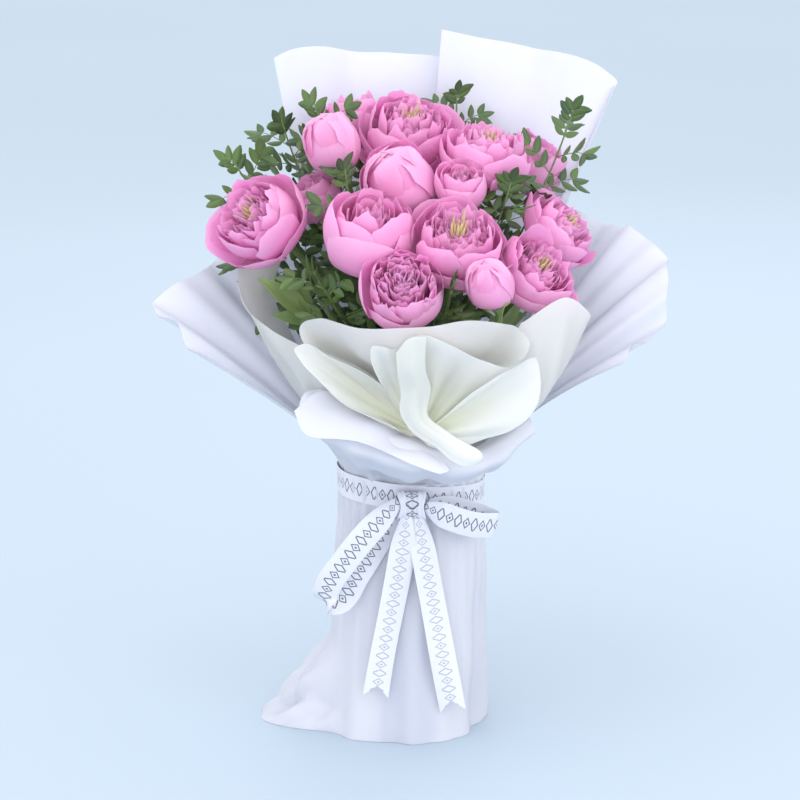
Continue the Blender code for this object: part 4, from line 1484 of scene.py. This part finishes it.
SHEETS = [
    Sheet("back_sheet_right_wrap", ("back_sheet_right",), (16, 90), 0.0105, 1.15,
          ((0.196, 0.108, 0.356), (0.202, 0.110, 0.372), (0.190, 0.112, 0.384), (0.117, 0.126, 0.404),
           (0.030, 0.130, 0.421)), (0.28, 0.40), 0.056, flutes=1.6, depth=0.004,
          bulge=0.010),
    Sheet("back_sheet_left_wrap", ("back_sheet_left",), (72, 165), 0.0080, 1.15,
          ((0.060, 0.146, 0.389), (-0.040, 0.146, 0.397), (-0.120, 0.126, 0.400), (-0.134, 0.122, 0.394)),
          (0.28, 0.41), 0.062, flutes=1.7, depth=0.004, shift=0.3,
          bulge=0.006),
    Sheet("wing_sheet_left_wrap", ("wing_sheet_left",), (140, 206), 0.0055, 1.4,
          ((-0.108, 0.116, 0.237), (-0.152, 0.090, 0.233), (-0.202, 0.035, 0.199),
           (-0.243, -0.020, 0.181), (-0.200, -0.062, 0.139)), (0.28, 0.30), 0.044, flutes=3.2, depth=0.007,
          curl=-0.010, painted_shade=0.1),
    Sheet("wing_sheet_right_wrap", ("wing_sheet_right",), (-28, 36), 0.0055, 1.4,
          ((0.200, -0.060, 0.129), (0.233, -0.030, 0.158), (0.244, 0.0, 0.215),
           (0.214, 0.050, 0.237), (0.170, 0.106, 0.237)), (0.28, 0.30), 0.044, flutes=3.4, depth=0.007,
          shift=0.4, curl=-0.010, painted_shade=0.1),
]

BACK_EDGE = (
    (-0.030, -0.152, 0.135), (-0.051, -0.142, 0.148), (-0.074, -0.134, 0.158), (-0.097, -0.125, 0.166),
    (-0.102, -0.124, 0.178), (-0.085, -0.142, 0.192), (-0.047, -0.178, 0.192), (0.015, -0.192, 0.197),
    (0.079, -0.172, 0.197), (0.095, -0.158, 0.188), (0.106, -0.154, 0.173), (0.102, -0.164, 0.162),
    (0.087, -0.174, 0.154))

DRAPES = [
    Drape("front_sheet_wrap", ("front_sheet",), (
        waist_curve(203, 337, 0.0035, WAIST_BOTTOM), waist_curve(203, 337, 0.0030, 0.011),
        ((-0.094, -0.100, 0.080), (-0.068, -0.126, 0.064), (0.000, -0.148, 0.046), (0.066, -0.138, 0.044),
         (0.104, -0.100, 0.070)),
        ((-0.104, -0.126, 0.098), (-0.074, -0.152, 0.084), (0.000, -0.172, 0.064), (0.067, -0.164, 0.060),
         (0.114, -0.122, 0.082)),
        ((-0.100, -0.118, 0.116), (-0.070, -0.140, 0.106), (-0.005, -0.162, 0.082), (0.062, -0.156, 0.072),
         (0.110, -0.114, 0.092)),
        ((-0.078, -0.098, 0.118), (-0.050, -0.118, 0.108), (-0.005, -0.138, 0.084), (0.055, -0.136, 0.070),
         (0.098, -0.098, 0.088))),
        (0.30, 0.22), 0.045, flutes=5.0, depth=0.0022),
    Drape("front_cuff_wrap", (), (
        ((-0.050, -0.116, 0.112), (-0.030, -0.130, 0.100), (0.000, -0.146, 0.084),
         (0.026, -0.170, 0.070)),
        ((-0.082, -0.122, 0.121), (-0.058, -0.144, 0.106), (-0.016, -0.162, 0.084),
         (0.034, -0.178, 0.061)),
        ((-0.108, -0.130, 0.104), (-0.098, -0.150, 0.088), (-0.048, -0.172, 0.086),
         (-0.004, -0.180, 0.069), (0.026, -0.182, 0.058))),
        (0.14, 0.07), 0.007, flutes=2.0, depth=0.0022, rests_on=("front_sheet_wrap",)),
    Drape("collar_back_wrap", ("collar_sheet",), (
        waist_curve(240, 300, 0.0070, WAIST_BOTTOM), waist_curve(240, 300, 0.0070, 0.014),
        ((-0.016, -0.080, 0.046), (-0.006, -0.086, 0.048), (0.014, -0.086, 0.048), (0.024, -0.080, 0.046)),
        ((-0.012, -0.110, 0.066), (-0.008, -0.112, 0.074), (0.022, -0.112, 0.076), (0.024, -0.112, 0.068)),
        tuple((0.008 + 0.35 * (x - 0.008), -0.118 + 0.30 * (y + 0.130), 0.092 + 0.42 * (z - 0.088))
              for x, y, z in BACK_EDGE[::3]),
        tuple((0.008 + 0.78 * (x - 0.008), y + 0.012, 0.088 + 0.74 * (z - 0.088))
              for x, y, z in BACK_EDGE),
        BACK_EDGE), (0.28, 0.20), 0.030, flutes=3.0, depth=0.0015, finish=IVORY_WRAP, painted_shade=0.8, fade=1.2,
        rests_on=("front_sheet_wrap",)),
    Drape("collar_left_wrap", ("collar_fold_left",), fan((0.004, -0.148, 0.090), 0.12, (
        (-0.028, -0.160, 0.136), (-0.051, -0.153, 0.149), (-0.074, -0.145, 0.158), (-0.099, -0.135, 0.168),
        (-0.107, -0.135, 0.163), (-0.101, -0.140, 0.153), (-0.085, -0.147, 0.138), (-0.065, -0.155, 0.121),
        (-0.040, -0.160, 0.106), (-0.012, -0.162, 0.092)), (0.0, 0.008, -0.004)),
        (0.13, 0.08), 0.006, flutes=1.5, depth=0.002, finish=IVORY_WRAP, painted_shade=0.8, fade=1.1,
        rests_on=("front_sheet_wrap",)),
    Drape("collar_flap_wrap", ("collar_fold_right",), fan((0.010, -0.158, 0.088), 0.06, (
        (0.055, -0.186, 0.136), (0.085, -0.190, 0.155), (0.111, -0.182, 0.165), (0.115, -0.180, 0.150),
        (0.112, -0.184, 0.122), (0.103, -0.184, 0.109), (0.090, -0.182, 0.099), (0.066, -0.176, 0.089),
        (0.045, -0.170, 0.080), (0.020, -0.162, 0.077)), (0.0, -0.004, 0.000)),
        (0.13, 0.09), 0.0065, flutes=2.2, depth=0.0018, finish=IVORY_WRAP, painted_shade=0.9, fade=2.2,
        rests_on=("front_sheet_wrap",)),
    Drape("collar_ruffle_wrap", (), fan((0.006, -0.154, 0.094), 0.13, (
        (0.100, -0.166, 0.160), (0.087, -0.177, 0.155), (0.063, -0.187, 0.164), (0.030, -0.194, 0.182),
        (0.011, -0.197, 0.191), (0.000, -0.195, 0.189), (-0.008, -0.188, 0.181), (-0.016, -0.184, 0.173),
        (-0.025, -0.190, 0.177), (-0.035, -0.190, 0.178), (-0.037, -0.184, 0.168), (-0.034, -0.176, 0.154),
        (-0.029, -0.168, 0.140)), (0.0, 0.012, -0.004)),
        (0.18, 0.12), 0.010, flutes=3.6, depth=0.0042, shift=0.2, finish=IVORY_WRAP, painted_shade=0.9, fade=1.8,
        rests_on=("collar_back_wrap",)),
    Drape("collar_twist_wrap", (), (
        ((-0.014, -0.193, 0.173), (-0.001, -0.199, 0.188), (0.013, -0.199, 0.189)),
        ((-0.013, -0.186, 0.153), (-0.004, -0.190, 0.155), (0.012, -0.187, 0.158)),
        ((-0.010, -0.174, 0.130), (0.002, -0.178, 0.134), (0.017, -0.172, 0.135)),
        ((-0.010, -0.168, 0.110), (-0.001, -0.173, 0.114), (0.015, -0.166, 0.120)),
        ((-0.001, -0.168, 0.095), (0.006, -0.172, 0.103), (0.014, -0.166, 0.110)),
        ((0.021, -0.177, 0.082), (0.025, -0.180, 0.089), (0.031, -0.176, 0.097)),
        ((0.038, -0.185, 0.070), (0.043, -0.187, 0.079), (0.049, -0.183, 0.087)),
        ((0.052, -0.188, 0.067), (0.058, -0.190, 0.074), (0.060, -0.187, 0.082)),
        ((0.061, -0.188, 0.070), (0.064, -0.189, 0.074), (0.064, -0.188, 0.078))),
        (0.17, 0.03), 0.0039, flutes=1.5, depth=0.0008, soft=0.0008, finish=IVORY_WRAP, painted_shade=0.1,
        rests_on=("collar_ruffle_wrap",)),
    Drape("collar_right_wrap", (), (
        waist_curve(286, 340, 0.0090, WAIST_BOTTOM), waist_curve(286, 340, 0.0090, 0.014),
        ((0.030, -0.096, 0.070), (0.062, -0.084, 0.066), (0.088, -0.060, 0.070), (0.100, -0.030, 0.085)),
        ((0.084, -0.140, 0.160), (0.126, -0.132, 0.130), (0.140, -0.092, 0.132), (0.138, -0.052, 0.142)),
        ((0.098, -0.146, 0.190), (0.141, -0.136, 0.211), (0.161, -0.116, 0.194), (0.158, -0.070, 0.170))),
        (0.20, 0.26), 0.028, flutes=3.0, depth=0.003, finish=IVORY_WRAP, painted_shade=0.35,
        rests_on=("front_sheet_wrap",)),
    Drape("collar_lining_wrap", (), (
        waist_curve(166, 244, 0.0090, WAIST_BOTTOM), waist_curve(166, 244, 0.0090, 0.014),
        ((-0.100, 0.020, 0.110), (-0.104, -0.020, 0.100), (-0.090, -0.060, 0.084),
         (-0.050, -0.088, 0.070)),
        ((-0.130, 0.014, 0.190), (-0.150, -0.030, 0.180), (-0.128, -0.076, 0.150),
         (-0.084, -0.108, 0.130)),
        ((-0.120, 0.000, 0.228), (-0.158, -0.036, 0.222), (-0.152, -0.070, 0.186),
         (-0.100, -0.108, 0.158))),
        (0.22, 0.27), 0.030, flutes=3.0, depth=0.003, finish=IVORY_WRAP, painted_shade=0.35,
        rests_on=("front_sheet_wrap",)),
]


@dataclass(frozen=True)
class Studio:
    """The floor, the soft lights and the camera. A lamp is its name, place, size and watts."""

    floor_half: float = 12.0
    sky: Place = (0.95, 0.97, 1.0)
    brightness: float = 1.32
    target: Place = (-0.0121, 0.030, 0.3145)
    camera_place: Place = (-0.0121, -2.7645, 1.0112)
    lens: float = 135.0
    sensor: float = 36.0
    lamps: tuple[tuple[str, Place, float, float], ...] = (
        ("key", (-0.7, -1.1, 3.0), 2.2, 18.0),
        ("fill", (2.2, -2.2, 1.2), 2.0, 18.0),
        ("front", (-0.5, -3.4, 0.6), 2.4, 30.0),
        ("back", (0.5, 2.2, 1.8), 1.8, 8.0),
    )

    def aim(self, thing: bpy.types.Object) -> None:
        """Turns a lamp or a camera to the middle of the bunch."""
        ahead = unit(np.array(self.target) - np.array(thing.location))
        right = unit(np.cross(ahead, (0.0, 0.0, 1.0)))
        axes = np.stack((right, np.cross(right, ahead), -ahead), axis=1)
        world = np.eye(4)
        world[:3, :3], world[:3, 3] = axes, thing.location
        thing.matrix_world = Matrix(world.tolist())

    def build(self) -> None:
        """Makes the studio."""
        corners = np.array(((-1.0, -1.0, 0.0), (1.0, -1.0, 0.0), (1.0, 1.0, 0.0), (-1.0, 1.0, 0.0)))
        mesh = bpy.data.meshes.new("floor")
        mesh.from_pydata((corners * self.floor_half).tolist(), [], [(0, 1, 2, 3)])
        mesh.materials.append(FLOOR.material())
        floor = bpy.data.objects.new("floor", mesh)
        bpy.context.scene.collection.objects.link(floor)
        for name, place, size, power in self.lamps:
            lamp = bpy.data.lights.new(name, "AREA")
            lamp.size, lamp.energy = size, power
            thing = bpy.data.objects.new(name, lamp)
            thing.location = place
            bpy.context.scene.collection.objects.link(thing)
            self.aim(thing)
        world = bpy.data.worlds.new("studio")
        world.use_nodes = True
        sky = world.node_tree.nodes["Background"]
        sky.inputs["Color"].default_value = rgba(self.sky)
        sky.inputs["Strength"].default_value = self.brightness
        bpy.context.scene.world = world
        camera = bpy.data.cameras.new("camera")
        camera.lens, camera.sensor_width = self.lens, self.sensor
        thing = bpy.data.objects.new("camera", camera)
        thing.location = self.camera_place
        bpy.context.scene.collection.objects.link(thing)
        self.aim(thing)
        bpy.context.scene.camera = thing
        bpy.context.scene.view_settings.view_transform = "Standard"


def dress_frame_nodes() -> None:
    """Gives the stems and the twine, which stay as the frame has them, their finishes."""
    for name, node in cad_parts.items():
        if name.endswith("_stem"):
            node.data.materials.clear()
            node.data.materials.append(STEMS.material())
        elif name == "stem_twine":
            node.data.materials.clear()
            node.data.materials.append(TWINE.material())


def main() -> None:
    """Builds the studio and every piece of the bunch, in order."""
    logging.basicConfig(level=logging.INFO, format="%(message)s")
    Studio().build()
    dress_frame_nodes()
    for head in HEADS:
        head.build()
    walls = Walls([sheet.surface() for sheet in SHEETS + DRAPES])
    for head in HEADS:
        Foliage(head).build(HEADS, walls)
    for sprig in SPRIGS:
        sprig.build(HEADS, walls)
    for leaf in PEONY_LEAVES:
        leaf.build()
    for sheet in SHEETS:
        sheet.build()
    for drape in DRAPES:
        drape.build()
    Skirt().build()
    Ribbon().build()


if __name__ == "__main__":
    main()
